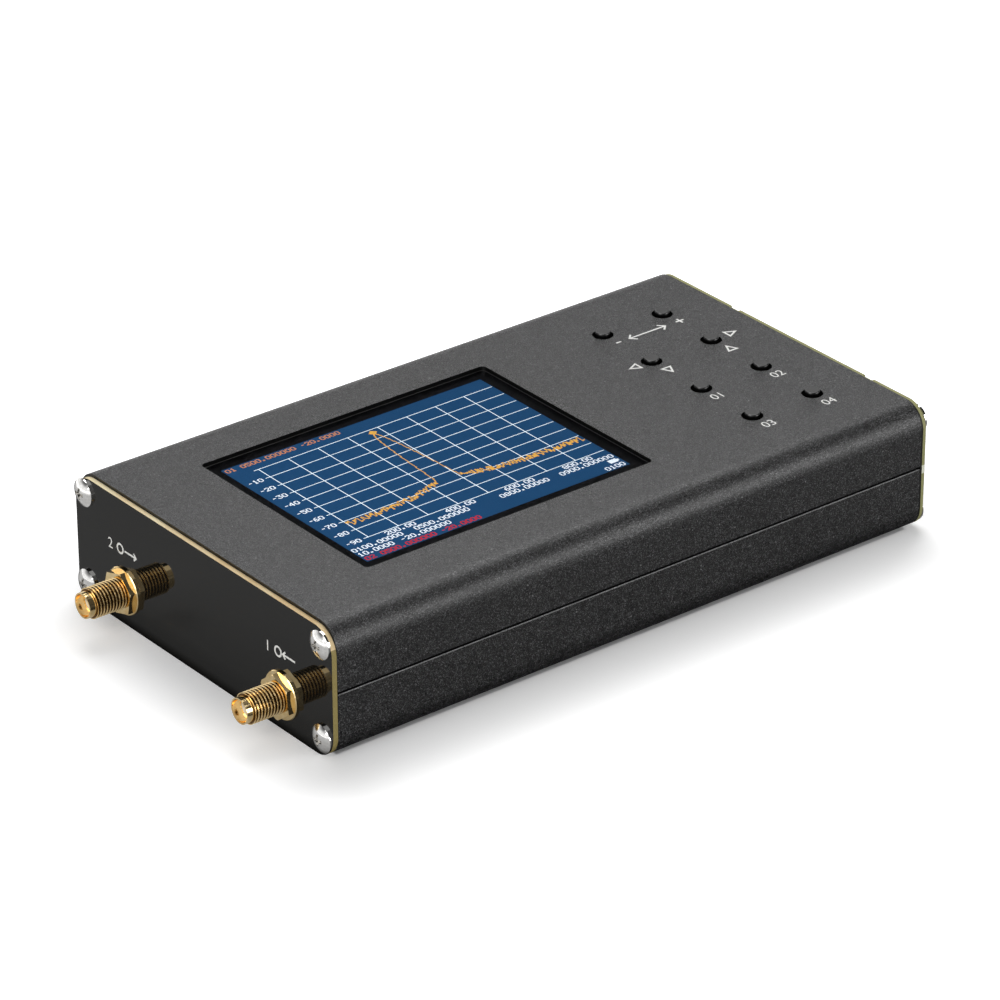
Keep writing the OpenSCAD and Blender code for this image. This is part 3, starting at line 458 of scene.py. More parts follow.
def bare_edge(paint):
    """Cut glass fibre in layers: brown on the left panel with its upward edges painted paler as light from
    above, olive with a pale stub on the right one.
    """
    layers = paint.noise(LAYER, 3, paint.stretched(LAYER_STRETCH))
    shades = {name: paint.ramp(layers, *pair) for name, pair in EDGE_COLOURS.items()}
    patches = paint.span(paint.noise(PATCH), -case_half, case_half, *GRAIN_SPAN)
    along = paint.math("ADD", paint.axis("Y"), patches)
    fade = paint.span(along, 0.0, 1.0, -case_half, case_half)
    top = paint.mix(fade, shades["warm"], shades["pale"])
    right = paint.math("GREATER_THAN", paint.axis("X"), 0.0)
    # Painted light: upward edges of the left panel are paler than its upright ones
    left_edge = paint.mix(paint.looks("Z", *LIT_UPWARD), shades["brown"], top)
    edge = paint.mix(right, left_edge, shades["olive"])
    stub = paint.math("MULTIPLY", paint.looks("Y", *NEAR_SIDE), paint.between(paint.axis("Z"), *STUB))
    return paint.mix(paint.math("MULTIPLY", right, stub), edge, solid(STUB_COLOUR))


def panel_black():
    """Glossy black solder mask on both faces of a sheet whose cut edges are bare, save a band next to the
    inner face that is painted black as shade.
    """
    paint = Paint("panel_black")
    face = paint.faces("X", 0.5)
    depth = paint.math("ABSOLUTE", paint.axis("X"))
    inner = paint.math("SUBTRACT", depth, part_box("right_panel")[0].x)
    right = paint.math("GREATER_THAN", paint.axis("X"), 0.0)
    # Painted shade: next to the inner face the cut edge keeps the black mask colour, for the gap against the
    # case
    clear = paint.math("GREATER_THAN", inner, paint.span(right, SHADE_BAND_IN["left"], SHADE_BAND_IN["right"]))
    core = paint.math("MULTIPLY", clear, paint.math("LESS_THAN", depth, right_face - MASK_T))
    mask = paint.ramp(paint.noise(MASK_GRAIN), *MASK_COLOURS)
    edge = paint.mix(core, mask, bare_edge(paint))
    paint.set(
        Base_Color=paint.mix(face, edge, mask),
        Roughness=paint.span(face, EDGE_ROUGH, MASK_ROUGH),
        Specular_IOR_Level=0.23,
    )
    return paint.bump(paint.noise(MASK_WAVE), MASK_DEPTH)


def key_black():
    """Black moulded keys with satin tops and smooth walls, the walls painted darker than the tops as shade.
    """
    paint = Paint("key_black")
    top = paint.faces("Z", 0.8)
    grain = paint.noise(KEY_GRAIN)
    paint.set(
        # Painted shade: the walls get a darker colour than the tops
        Base_Color=paint.mix(top, solid(KEY_WALL_SHADE), paint.ramp(grain, *KEY_TOP)),
        Roughness=paint.span(top, *KEY_ROUGH),
    )
    return paint.bump(grain, KEY_DEPTH)


def window_glass():
    """Clear glass with faint smudges in its gloss."""
    paint = Paint("window_glass")
    paint.set(
        Base_Color=solid((0.97, 0.975, 0.98)),
        Roughness=paint.span(paint.noise(SMUDGE, 4), *SMUDGE_ROUGH, *SMUDGE_SPAN),
        Transmission_Weight=1.0,
        IOR=1.45,
    )
    return paint


def lit(name, colour):
    """Part of the lit picture, with dark gaps between the display's dots and less light to the right."""
    paint = Paint(name)
    gaps = []
    for letter, pitch in zip("XY", LCD_DOT):
        gaps.append(paint.math("GREATER_THAN", paint.phase(letter, pitch), LCD_GAP))
    dot = paint.math("MULTIPLY", *gaps)
    dim = tuple(GAP_LIGHT * c for c in colour)
    paint.set(
        Base_Color=solid(tuple(UNLIT * c for c in colour)),
        Emission_Color=paint.ramp(dot, dim, colour, 0.0, 1.0),
        Emission_Strength=paint.span(paint.axis("X"), *PICTURE_FADE, glass_low.x, glass_high.x),
        Roughness=0.5,
        Specular_IOR_Level=0.02,
    )
    return paint


def ribbon_amber():
    """Amber film over lines of copper."""
    paint = Paint("ribbon_amber")
    track = paint.math("LESS_THAN", paint.phase("Y", RIBBON_PITCH), RIBBON_SHARE)
    paint.set(
        Base_Color=paint.mix(track, *(solid(colour) for colour in RIBBON_COLOURS)),
        Roughness=0.32,
    )
    return paint.bump(track, RIBBON_DEPTH)


def board_green():
    """Green solder mask over copper, with lines of track under it."""
    paint = Paint("board_green")
    track = paint.math("LESS_THAN", paint.phase("X", BOARD_PITCH), BOARD_SHARE)
    field = paint.math("GREATER_THAN", paint.noise(BOARD_FIELD, 0), 0.5)
    shown = paint.math("MULTIPLY", track, field)
    paint.set(
        Base_Color=paint.mix(shown, *(solid(colour) for colour in BOARD_COLOURS)),
        Roughness=paint.span(paint.noise(BOARD_CLOUD), *BOARD_ROUGH),
    )
    return paint.bump(track, BOARD_DEPTH)


def socket_thread(paint):
    """Masks of the thread on the aerial sockets and of its valleys, where shade is painted."""
    socket = middle("output_jack_nut")
    across = paint.math("SUBTRACT", paint.math("ABSOLUTE", paint.axis("Y")), socket.y)
    rise = paint.math("SUBTRACT", paint.axis("Z"), socket.z)
    squares = [paint.math("MULTIPLY", leg, leg) for leg in (across, rise)]
    reach = paint.math("POWER", paint.math("ADD", *squares), 0.5)
    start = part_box("output_jack_body")[0].x + TIP_L
    along = paint.between(paint.axis("X"), start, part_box("output_jack_nut")[0].x)
    thread = paint.math("MULTIPLY", along, paint.between(reach, *THREAD_R))
    return thread, paint.math("MULTIPLY", thread, paint.math("LESS_THAN", reach, VALLEY_R))


def gold(name, rough):
    """Gold plate, bright on the nuts and rims, satin on the threads and brown in their valleys as painted
    shade.
    """
    paint = Paint(name)
    cloud = paint.noise(PLATE_CLOUD, 3)
    thread, valley = socket_thread(paint)
    plate = paint.ramp(cloud, *PLATE_COLOURS)
    valley_shade = paint.ramp(cloud, *VALLEY_SHADE_COLOURS)
    shine = paint.span(paint.noise(PLATE_GRAIN), *rough, *GRAIN_SPAN)
    paint.set(
        # Painted shade: the thread's valleys are coloured dark brown
        Base_Color=paint.mix(valley, plate, valley_shade),
        Roughness=paint.math("MULTIPLY", shine, paint.span(thread, 1.0, THREAD_SATIN)),
        Metallic=1.0,
    )
    return paint.bump(cloud, PLATE_DEPTH)


def light_red():
    """Tinted lens of the charge light."""
    paint = grained("light_red", (0.42, 0.03, 0.01), (0.58, 0.06, 0.03), 0.6 * MM, (0.08, 0.16), 0.003 * MM)
    return paint.set(Transmission_Weight=0.6, IOR=1.5)


FINISHES = {
    "case_grey": case_grey(),
    "panel_black": panel_black(),
    "screw_nickel": grained(
        "screw_nickel", (0.78, 0.77, 0.75), (0.92, 0.91, 0.89), 0.6 * MM, (0.06, 0.16), 0.004 * MM,
        Metallic=1.0),
    "key_black": key_black(),
    "slider_black": grained(
        "slider_black", (0.012, 0.012, 0.013), (0.022, 0.022, 0.023), 0.3 * MM, (0.38, 0.5), 0.006 * MM),
    "gasket_black": grained(
        "gasket_black", (0.006, 0.006, 0.006), (0.016, 0.016, 0.016), 0.2 * MM, (0.7, 0.9), 0.02 * MM),
    "window_glass": window_glass(),
    "display_blue": grained(
        "display_blue", (0.004, 0.006, 0.010), (0.006, 0.009, 0.016), 2 * MM, (0.3, 0.4), 0.001 * MM,
        Specular_IOR_Level=0.05),
    "backlight_white": grained(
        "backlight_white", (0.74, 0.74, 0.72), (0.82, 0.82, 0.80), 1 * MM, (0.4, 0.6), 0.004 * MM),
    "tray_steel": brushed("tray_steel", (0.45, 0.46, 0.47), (0.62, 0.63, 0.64), (0.25, 0.4)),
    "dome_steel": brushed("dome_steel", (0.55, 0.55, 0.53), (0.70, 0.70, 0.68), (0.18, 0.3), size=1 * MM),
    "ribbon_amber": ribbon_amber(),
    "board_green": board_green(),
    "chip_black": grained(
        "chip_black", (0.016, 0.016, 0.017), (0.034, 0.034, 0.035), 0.25 * MM, (0.45, 0.6), 0.01 * MM),
    "can_steel": brushed("can_steel", (0.55, 0.55, 0.55), (0.68, 0.68, 0.68), (0.22, 0.34), (1, 20, 1)),
    "contact_gold": gold("contact_gold", (0.2, 0.32)),
    "battery_foil": grained(
        "battery_foil", (0.52, 0.53, 0.55), (0.66, 0.67, 0.69), 3 * MM, (0.25, 0.4), 0.05 * MM,
        Metallic=1.0),
    "pad_white": grained(
        "pad_white", (0.70, 0.69, 0.65), (0.82, 0.81, 0.77), 0.5 * MM, (0.8, 0.95), 0.05 * MM),
    "plug_white": grained(
        "plug_white", (0.72, 0.71, 0.66), (0.80, 0.79, 0.74), 1 * MM, (0.4, 0.55), 0.006 * MM),
    "lead_red": grained(
        "lead_red", (0.36, 0.02, 0.015), (0.46, 0.035, 0.03), 0.5 * MM, (0.45, 0.6), 0.01 * MM),
    "lead_black": grained(
        "lead_black", (0.01, 0.01, 0.01), (0.02, 0.02, 0.02), 0.5 * MM, (0.45, 0.6), 0.01 * MM),
    "jack_gold": gold("jack_gold", (0.08, 0.16)),
    "insulator_white": grained(
        "insulator_white", (0.66, 0.62, 0.54), (0.76, 0.72, 0.64), 0.4 * MM, (0.35, 0.5), 0.006 * MM),
    "usb_nickel": brushed(
        "usb_nickel", (0.56, 0.56, 0.55), (0.72, 0.72, 0.71), (0.2, 0.34), (1, 12, 12), 1 * MM),
    "light_red": light_red(),
}

for row in frame["record"]["subparts"]:
    mesh = frame["nodes"][row["node"]].data
    mesh.materials.clear()
    mesh.materials.append(FINISHES[row["material_slot"]].material)


# Flat pieces: thin closed plates built in a drawing's own X and Y, then set on a face

def slab(drawing, x0, y0, x1, y1, low, high):
    """A closed block between two corners."""
    corners = [(x, y, z) for z in (low, high) for x, y in ((x0, y0), (x1, y0), (x1, y1), (x0, y1))]
    points = [drawing.verts.new(corner) for corner in corners]
    drawing.faces.new(points[3::-1])
    drawing.faces.new(points[4:])
    for i in range(4):
        j = (i + 1) % 4
        drawing.faces.new((points[i], points[j], points[j + 4], points[i + 4]))


def stroke(drawing, path, width, low, high, closed=False):
    """A line of one width along a path, with sharp corners, as a closed plate."""
    path = [Vector(point) for point in path]
    count = len(path)
    sides = []
    for i, point in enumerate(path):
        before = path[i - 1] if closed or i > 0 else None
        after = path[(i + 1) % count] if closed or i < count - 1 else None
        steps = [(a, b) for a, b in ((before, point), (point, after)) if None not in (a, b)]
        ways = [(b - a).normalized() for a, b in steps]
        normals = [Vector((-way.y, way.x)) for way in ways]
        corner = sum(normals, Vector((0, 0))).normalized()
        reach = width / 2 / corner.dot(normals[0])
        sides.append((point + corner * reach, point - corner * reach))
    rings = [
        [drawing.verts.new((*side[k], z)) for k, z in ((0, low), (1, low), (1, high), (0, high))]
        for side in sides
    ]
    for i in range(count if closed else count - 1):
        near, far = rings[i], rings[(i + 1) % count]
        for k in range(4):
            drawing.faces.new((near[k], near[k - 3], far[k - 3], far[k]))
    if not closed:
        drawing.faces.new(rings[0][::-1])
        drawing.faces.new(rings[-1])


def piece(name, drawing, paint, body="case", setting=None):
    """Turns a drawing into an object that rides on a body."""
    if setting:
        drawing.transform(setting)
    bmesh.ops.recalc_face_normals(drawing, faces=drawing.faces)
    mesh = bpy.data.meshes.new(name)
    drawing.to_mesh(mesh)
    drawing.free()
    mesh.materials.append(paint.material)
    thing = bpy.data.objects.new(name, mesh)
    bpy.context.scene.collection.objects.link(thing)
    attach(thing, body)


# Screen

SCREEN = Matrix.Translation((picture_x - PICTURE_L / 2, picture_y + PICTURE_W / 2, glass_low.z + SHEET_T))

# Dots of the digits on the screen, seven rows of five
GLYPHS = {
    "0": "01110 10001 10001 10001 10001 10001 01110",
    "1": "00100 01100 00100 00100 00100 00100 01110",
    "2": "01110 10001 00001 00010 00100 01000 11111",
    "3": "11111 00010 00100 00010 00001 10001 01110",
    "4": "00010 00110 01010 10010 11111 00010 00010",
    "5": "11111 10000 11110 00001 00001 10001 01110",
    "6": "00110 01000 10000 11110 10001 10001 01110",
    "7": "11111 00001 00010 00100 01000 01000 01000",
    "8": "01110 10001 10001 01110 10001 10001 01110",
    "9": "01110 10001 10001 01111 00001 00010 01100",
    "-": "00000 00000 00000 01110 00000 00000 00000",
    ".": "00000 00000 00000 00000 00000 01100 01100",
    " ": "",
}
GLYPH_STEP = 6
GLYPH_H = 7
GLYPH_BOLD = 0.3
GLYPH_DOT_H = 1.15

# Figures on the screen, in dots: one beside each level line, one under every second upright line, and the
# readouts, each with its row, its column and its figures
LEVEL_STEP = -10
LABEL_GAP = 3
SCALE_EVERY = 2
SCALE_AT = (47, 202)
SCALE = ("200.00", "400.00", "600.00", "800.00")
READOUTS = (
    (211, 1, "0100.00000"),
    (211, 75, "0500.000000"),
    (211, 179, "0800.00000"),
    (211, 253, "0900.000000"),
    (221, 1, "10.0000"),
    (221, 51, "-20.000000"),
    (231, LCD_COLUMNS - 4 * GLYPH_STEP - 2, "0100"),
)
BATTERY_SIGN = ((LCD_COLUMNS - 14, 221, 10, 7), (LCD_COLUMNS - 4, 223, 2, 3))
COLOURED_COLUMN = 2
COLOURED_READOUTS = (
    ("screen_readout_top", "01 0500.000000 -20.0000", 2, "orange"),
    ("screen_readout_low", "02 0500.000000 -20.0000", 231, "red"),
)


def dots(drawing, column, row, columns, rows, level=1):
    """A block of lit dots, from a dot counted from the picture's top left corner."""
    low = level * SHEET_T
    slab(drawing, column * LCD_DOT.x, -(row + rows) * LCD_DOT.y,
         (column + columns) * LCD_DOT.x, -row * LCD_DOT.y, low, low + SHEET_T)


def digits(drawing, text, column, row):
    """Figures made of runs of lit dots, from the dot at their top left corner."""
    for i, letter in enumerate(text):
        for j, bits in enumerate(GLYPHS[letter].split()):
            start = 0
            for run in bits.replace("0", " 0 ").split():
                if run != "0":
                    place = column + i * GLYPH_STEP + start
                    dots(drawing, place, row + j, len(run) + GLYPH_BOLD, GLYPH_DOT_H)
                start += len(run)


def screen_mask(colours):
    """Black border printed round the picture under the glass."""
    drawing = bmesh.new()
    outer = (glass_high - glass_low) / 2 - Vector((GLASS_LAP - MASK_REACH, GLASS_LAP - MASK_REACH, 0))
    inner = (PICTURE_L / 2, PICTURE_W / 2)
    rings = []
    for z in (0, SHEET_T):
        for x, y in ((outer.x, outer.y), inner):
            rings.append([
                drawing.verts.new((PICTURE_L / 2 + sx * x, -PICTURE_W / 2 + sy * y, z))
                for sx, sy in ((-1, -1), (1, -1), (1, 1), (-1, 1))
            ])
    for a, b in ((0, 1), (1, 3), (3, 2), (2, 0)):
        for i in range(4):
            j = (i + 1) % 4
            drawing.faces.new((rings[a][i], rings[a][j], rings[b][j], rings[b][i]))
    piece("screen_mask", drawing, colours["black"], setting=SCREEN)


def screen_field(colours):
    """Blue ground of the picture, in one strip per division."""
    drawing = bmesh.new()
    for j in range(DIVISIONS[1]):
        top = LCD_ROWS * j / DIVISIONS[1]
        dots(drawing, 0, top, LCD_COLUMNS, LCD_ROWS / DIVISIONS[1], level=0)
    piece("screen_field", drawing, colours["blue"], setting=SCREEN)


def screen_grid(colours):
    """Grid of the graph, with ticks at the left ends of its level lines."""
    drawing = bmesh.new()
    start = GRAPH_LEFT - TICK
    for i in range(DIVISIONS[0]):
        dots(drawing, round(GRAPH_LEFT + i * DIVISION[0]), GRAPH_TOP, LINE_W, DIVISIONS[1] * DIVISION[1] + 1)
    for j in range(DIVISIONS[1] + 1):
        dots(drawing, start, GRAPH_TOP + j * DIVISION[1], LCD_COLUMNS - 1 - start, LINE_W)
    piece("screen_grid", drawing, colours["line"], setting=SCREEN)


def screen_trace(colours):
    """A steep peak over a noisy floor that swells near it, drawn dot column by dot column."""
    draw = random.Random(NOISE_SEED)
    drawing = bmesh.new()
    heights = []
    for column in range(GRAPH_LEFT, LCD_COLUMNS):
        off = column - PEAK_COLUMN
        floor = FLOOR_ROW - SKIRT * math.exp(-abs(off) / SKIRT_W)
        flank = PEAK_ROW + PEAK_STEEP * off * off
        smooth = min(floor, flank) - BEND * math.log1p(math.exp(-abs(floor - flank) / BEND))
        quiet = 1 - NOISE_QUIET * math.exp(-abs(off) / NOISE_W)
        wild = draw.uniform(-NOISE, NOISE) * quiet
        heights.append(smooth + wild if floor < flank else smooth)
    for i, (here, after) in enumerate(zip(heights, heights[1:])):
        dots(drawing, GRAPH_LEFT + i, min(here, after), TRACE[0], abs(after - here) + TRACE[1], level=2)
    for row in range(-MARKER[1], MARKER[1] + 1):
        half = MARKER[0] * (1 - abs(row) / (MARKER[1] + 1))
        dots(drawing, PEAK_COLUMN + 0.5 - half, PEAK_ROW - MARKER_RISE + row, 2 * half, 1, level=3)
    piece("screen_trace", drawing, colours["amber"], setting=SCREEN)


def screen_numbers(colours):
    """Plain numbers on the scales and in the readouts."""
    drawing = bmesh.new()
    for j in range(1, DIVISIONS[1] + 1):
        text = str(LEVEL_STEP * j)
        row = GRAPH_TOP + j * DIVISION[1] - GLYPH_H // 2
        digits(drawing, text, GRAPH_LEFT - TICK - LABEL_GAP - GLYPH_STEP * len(text), row)
    for i, text in enumerate(SCALE):
        digits(drawing, text, SCALE_AT[0] + SCALE_EVERY * i * DIVISION[0], SCALE_AT[1])
    for row, column, text in READOUTS:
        digits(drawing, text, column, row)
    for block in BATTERY_SIGN:
        dots(drawing, *block)
    piece("screen_numbers", drawing, colours["white"], setting=SCREEN)
    for name, text, row, colour in COLOURED_READOUTS:
        drawing = bmesh.new()
        digits(drawing, text, COLOURED_COLUMN, row)
        piece(name, drawing, colours[colour], setting=SCREEN)


LIT_COLOURS = {
    "blue": (0.0130, 0.063, 0.158),
    "line": (0.98, 1.12, 1.20),
    "white": (0.90, 0.98, 1.06),
    "amber": (0.80, 0.43, 0.085),
    "orange": (0.62, 0.26, 0.115),
    "red": (0.62, 0.024, 0.018),
}


def build_screen():
    colours = {"black": grained(
        "screen_black", (0.003, 0.003, 0.004), (0.006, 0.006, 0.007), 1 * MM, (0.5, 0.6), 0.001 * MM,
        Specular_IOR_Level=0.05)}
    for name, colour in LIT_COLOURS.items():
        colours[name] = lit("screen_" + name, colour)
    for part in (screen_mask, screen_field, screen_grid, screen_trace, screen_numbers):
        part(colours)


build_screen()


# Printed signs

INK = grained("sign_white", (0.80, 0.80, 0.77), (0.92, 0.92, 0.89), 0.3 * MM, (0.5, 0.65), 0.004 * MM)


def printed(drawing, text, x, y, size):
    """Adds plain figures in Blender's own font, centred on a point."""
    curve = bpy.data.curves.new("figures", "FONT")
    curve.body = text
    curve.size = size / FONT_CAP
    curve.align_x = "CENTER"
    curve.extrude = (INK_T + INK_SUNK) / 2
    curve.resolution_u = FONT_STEPS
    holder = bpy.data.objects.new("figures", curve)
    bpy.context.scene.collection.objects.link(holder)
    bpy.context.view_layer.update()
    mesh = bpy.data.meshes.new_from_object(holder)
    mesh.transform(Matrix.Translation((x, y - size / 2, (INK_T - INK_SUNK) / 2)))
    drawing.from_mesh(mesh)
    bpy.data.objects.remove(holder)
    bpy.data.curves.remove(curve)
    bpy.data.meshes.remove(mesh)


def line(drawing, path, closed=False, height=INK_T):
    """A line of ink. One that lies under another is a little lower."""
    stroke(drawing, path, INK_LINE, -INK_SUNK, height, closed)


def triangle(drawing, x, y, turn):
    """Outline of an arrow head that points along +X before its turn."""
    size = TRIANGLE - INK_LINE
    spin = Matrix.Rotation(math.radians(turn), 2)
    corners = [spin @ Vector(p) for p in ((size / 2, 0), (-size / 2, size / 2), (-size / 2, -size / 2))]
    line(drawing, [(x + c.x, y + c.y) for c in corners], closed=True)


def two_way_arrow(drawing, x, y):
    """A level arrow with a head at each end, centred on a point."""
    line(drawing, [(x - ARROW_HALF, y), (x + ARROW_HALF, y)], height=INK_UNDER)
    for side in (-1, 1):
        tip = x + side * ARROW_HALF
        barb = tip - side * ARROW_HEAD
        line(drawing, [(barb, y + ARROW_HEAD), (tip, y), (barb, y - ARROW_HEAD)])


def face_signs():
    """Signs beside the keys, placed from the keys themselves."""
    keys = [middle("key_%d" % i) for i in range(1, 9)]
    columns = (keys[0].x, keys[1].x)
    rows = [key.y for key in keys[::2]]
    drawing = bmesh.new()
    sign_y = rows[0] - KEY_DROP
    minus_x = columns[0] + MINUS_X
    line(drawing, [(minus_x - MINUS_HALF, sign_y), (minus_x + MINUS_HALF, sign_y)])
    for way, height in (((1, 0), INK_T), ((0, 1), INK_UNDER)):
        centre = Vector((columns[1] + PLUS_X, sign_y))
        arm = Vector(way) * PLUS_HALF
        line(drawing, [centre - arm, centre + arm], height=height)
    two_way_arrow(drawing, sum(columns) / 2, sign_y)
    for column, across, up, turn in TRIANGLES:
        triangle(drawing, columns[column] + across, rows[1] + up, turn)
    for i, (x, y) in enumerate((x, y) for y in rows[2:] for x in columns):
        printed(drawing, "0%d" % (i + 1), x + FIGURES_AT[0], y + FIGURES_AT[1], SIGN_H)
    piece("face_signs", drawing, INK, setting=Matrix.Translation((0, 0, case_top)))


def ring_arrow(drawing, x, y, way):
    """A ring with an arrow that leaves it or goes into it, to one side."""
    turns = [2 * math.pi * i / RING_STEPS for i in range(RING_STEPS)]
    line(drawing, [(x + RING_R * math.cos(t), y + RING_R * math.sin(t)) for t in turns], closed=True)
    near, far = x + RING_R + RING_GAP, x + PORT_REACH
    tip, tail = (far, near) if way > 0 else (near, far)
    barb = tip - way * PORT_HEAD
    line(drawing, [(tail, y), (tip, y)], height=INK_UNDER)
    line(drawing, [(barb, y + PORT_HEAD), (tip, y), (barb, y - PORT_HEAD)])


def left_panel_signs():
    """A number and an arrow over each aerial socket: out of the first one and into the second one."""
    drawing = bmesh.new()
    for node, text, way in (("output_jack_nut", "2", 1), ("input_jack_nut", "1", -1)):
        socket = middle(node)
        x, y = -socket.y, socket.z + SOCKET_RISE
        printed(drawing, text, x + SOCKET_FIGURE_X, y, SIGN_H)
        ring_arrow(drawing, x + RING_X, y, way)
    setting = Matrix(((0, 0, -1, left_face), (-1, 0, 0, 0), (0, 1, 0, 0), (0, 0, 0, 1)))
    piece("left_panel_signs", drawing, INK, setting=setting)


def right_panel_signs():
    """Off and on marks at the power switch."""
    drawing = bmesh.new()
    switch = middle("power_switch_case")
    for text, side in (("0", -1), ("1", 1)):
        printed(drawing, text, switch.y + side * SWITCH_SIDE, switch.z + SWITCH_RISE, SIGN_H)
    setting = Matrix(((0, 0, 1, right_face), (1, 0, 0, 0), (0, 1, 0, 0), (0, 0, 0, 1)))
    piece("right_panel_signs", drawing, INK, setting=setting)


face_signs()
left_panel_signs()
right_panel_signs()


# Floor, world and lamps

# Floor: its half size, place and faint clouds. Distances count from the object's foot, a little inside its
# outline. The floor's own light fades in close to the foot and then farther off. Bounced light finds the
# floor darker: nearly black at the foot as a painted shadow, grey in front and lighter beside the ends,
# where it also glows a little as painted light. Gloss shows it white again from the far distances
FLOOR_HALF = 4.0
FLOOR_STEPS = 8
FLOOR_Z = -0.05 * MM
FLOOR_CLOUD = 0.4
FLOOR_COLOURS = ((0.80, 0.80, 0.80), (0.82, 0.82, 0.82))
FOOT_INSET = 2.6 * MM
FOOT_H = 1.0
CONTACT_GLOW = 0.26
CONTACT_FADE = 0.6 * MM
FLOOR_GLOW = 0.60
FLOOR_FADE = 33 * MM
FOOT_SHADOW = (2 * MM, 9 * MM)
LEFT_FLOOR = (-74 * MM, -71.8 * MM)
RIGHT_FLOOR = (71.8 * MM, 74 * MM)
BOUNCE = (0.19, 0.38)
BOUNCE_GLOW = 0.23
GLOSS_FLOOR = (80 * MM, 200 * MM)

# World: light of the walls and of the ceiling, and the slopes between which one turns into the other
WALL_GLOW = 1.0
CEILING_GLOW = 0.02
CEILING_START = 0.12
CEILING_FULL = 0.42

# Lamps: name, direction from the object, distance, size, brightness, and whether it shows only in gloss
LAMPS = (
    ("lamp_back", (0.36, 0.45, 0.82), 1.0, (0.8, 0.5), 5.85, False),
    ("lamp_low", (0.56, -0.80, 0.20), 1.25, (0.9, 0.5), 4.8, False),
    ("card_low", (0.555, -0.765, 0.32), 1.25, (0.6, 0.22), 6.6, True),
    ("lamp_left", (-0.85, -0.25, 0.45), 1.1, (0.7, 0.7), 3.0, False),
    ("card_left", (-0.50, -0.22, 0.84), 1.0, (1.5, 1.5), 1.0, True),
    ("card_top", (-0.50, 0.05, 0.86), 1.0, (0.7, 0.7), 3.0, True),
)


def floor_zones(paint):
    """1 beside the two ends, and the distance from the foot."""
    along = paint.axis("X")
    behind = paint.math("GREATER_THAN", paint.axis("Y"), -case_half)
    right = paint.math("MULTIPLY", behind, paint.span(along, 0, 1, *RIGHT_FLOOR))
    beside = paint.math("MAXIMUM", right, paint.span(along, 1, 0, *LEFT_FLOOR))
    foot = (right_face - FOOT_INSET, case_half - FOOT_INSET, FOOT_H)
    past = paint.vector("MAXIMUM", paint.vector("SUBTRACT", paint.vector("ABSOLUTE", paint.place), foot))
    away = paint.calculate("ShaderNodeVectorMath", "LENGTH", past, (0, 0, 0)).outputs["Value"]
    return beside, away


def floor_seen(paint, away):
    """1 for rays that see the white floor: direct ones, those through glass, and gloss far from the foot."""
    rays = paint.add("LightPath").outputs
    direct = paint.math("MAXIMUM", rays["Is Camera Ray"], rays["Is Transmission Ray"])
    mirrored = paint.math("MULTIPLY", rays["Is Glossy Ray"], paint.span(away, 0, 1, *GLOSS_FLOOR))
    return paint.math("MAXIMUM", direct, mirrored)


def floor_white():
    """White floor that keeps the shadow, because its own light fades in away from the foot."""
    paint = Paint("floor")
    beside, away = floor_zones(paint)
    shown = paint.add("BsdfDiffuse", Color=paint.ramp(paint.noise(FLOOR_CLOUD), *FLOOR_COLOURS))
    close = paint.span(away, 0, CONTACT_GLOW, 0, CONTACT_FADE)
    strength = paint.math("ADD", close, paint.span(away, 0, FLOOR_GLOW, CONTACT_FADE, FLOOR_FADE))
    glow = paint.add("Emission", Color=solid((1, 1, 1)), Strength=strength)
    # Painted shadow at the foot and painted light beside the ends, for bounced rays
    dimmed = paint.math("MULTIPLY", paint.span(beside, *BOUNCE), paint.span(away, 0, 1, *FOOT_SHADOW))
    grey = paint.add("BsdfDiffuse", Color=dimmed)
    end_glow = paint.add("Emission", Color=solid((1, 1, 1)), Strength=paint.span(beside, 0, BOUNCE_GLOW))
    tree = paint.tree
    choice = paint.add("MixShader", Fac=floor_seen(paint, away))
    for socket, first, second in ((choice.inputs[1], grey, end_glow), (choice.inputs[2], shown, glow)):
        both = tree.nodes.new("ShaderNodeAddShader")
        tree.links.new(first.outputs[0], both.inputs[0])
        tree.links.new(second.outputs[0], both.inputs[1])
        tree.links.new(both.outputs[0], socket)
    tree.links.new(choice.outputs[0], tree.nodes["Material Output"].inputs["Surface"])
    tree.nodes.remove(paint.shader)
    return paint


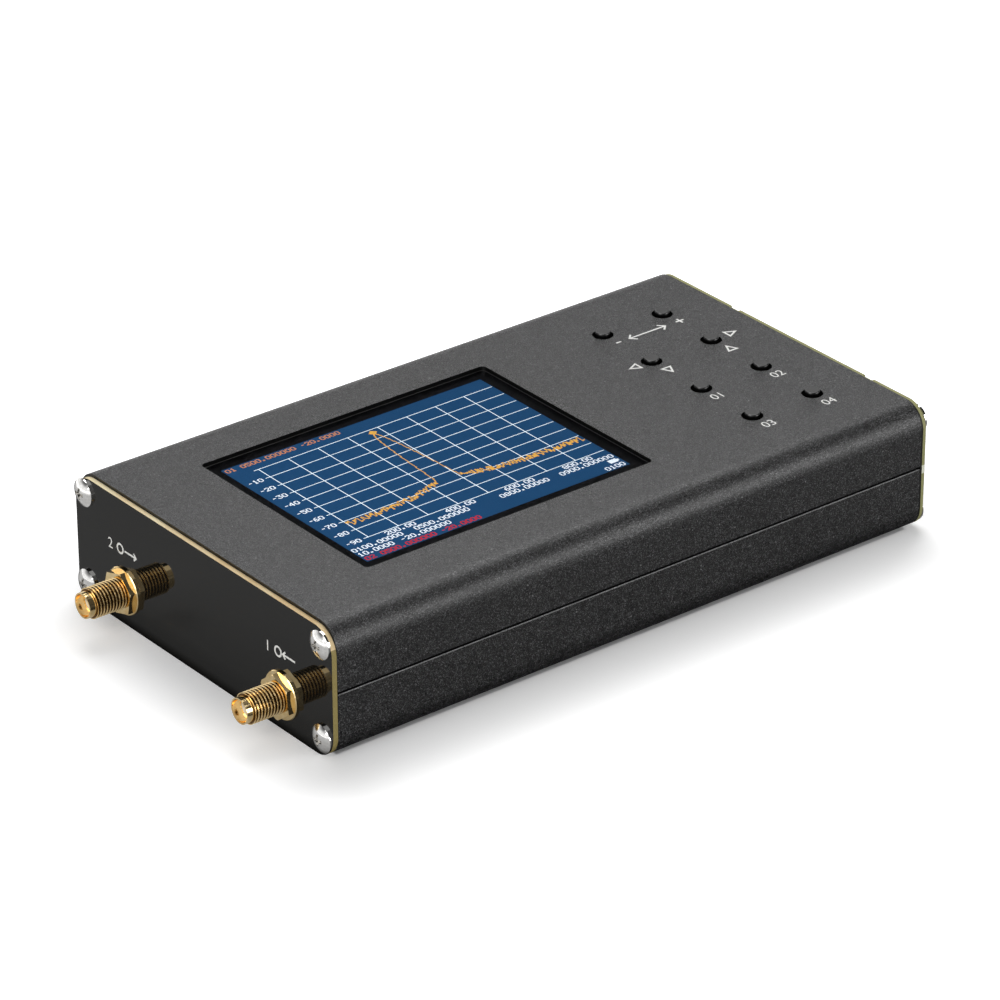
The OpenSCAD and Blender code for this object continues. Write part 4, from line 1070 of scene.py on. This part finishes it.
def build_floor():
    drawing = bmesh.new()
    bmesh.ops.create_grid(drawing, x_segments=FLOOR_STEPS, y_segments=FLOOR_STEPS, size=FLOOR_HALF)
    drawing.transform(Matrix.Translation((0, 0, FLOOR_Z)))
    mesh = bpy.data.meshes.new("floor")
    drawing.to_mesh(mesh)
    drawing.free()
    mesh.materials.append(floor_white().material)
    floor = bpy.data.objects.new("floor", mesh)
    bpy.context.scene.collection.objects.link(floor)


def build_world():
    """White walls round the floor under a dim ceiling."""
    world = bpy.data.worlds.new("studio")
    world.use_nodes = True
    tree = world.node_tree
    back = tree.nodes["Background"]
    place = tree.nodes.new("ShaderNodeTexCoord")
    parts = tree.nodes.new("ShaderNodeSeparateXYZ")
    fade = tree.nodes.new("ShaderNodeMapRange")
    fade.interpolation_type = "SMOOTHSTEP"
    fade.inputs["From Min"].default_value = CEILING_START
    fade.inputs["From Max"].default_value = CEILING_FULL
    fade.inputs["To Min"].default_value = WALL_GLOW
    fade.inputs["To Max"].default_value = CEILING_GLOW
    tree.links.new(place.outputs["Generated"], parts.inputs[0])
    tree.links.new(parts.outputs["Z"], fade.inputs["Value"])
    tree.links.new(fade.outputs["Result"], back.inputs["Strength"])
    back.inputs["Color"].default_value = (1, 1, 1, 1)
    bpy.context.scene.world = world


def softbox(name, direction, distance, size, brightness, card):
    """A rectangular lamp that faces the object, unseen by the camera. A card shows only in gloss."""
    data = bpy.data.lights.new(name, "AREA")
    data.shape = "RECTANGLE"
    data.size, data.size_y = size
    data.energy = brightness * math.pi * size[0] * size[1]
    lamp = bpy.data.objects.new(name, data)
    away = Vector(direction).normalized()
    lamp.location = CAMERA_TARGET + away * distance
    lamp.rotation_mode = "QUATERNION"
    lamp.rotation_quaternion = away.to_track_quat("Z", "Y")
    lamp.visible_camera = False
    lamp.visible_diffuse = not card
    bpy.context.scene.collection.objects.link(lamp)


build_floor()
build_world()
for lamp_row in LAMPS:
    softbox(*lamp_row)

bpy.context.scene.view_settings.view_transform = "Standard"
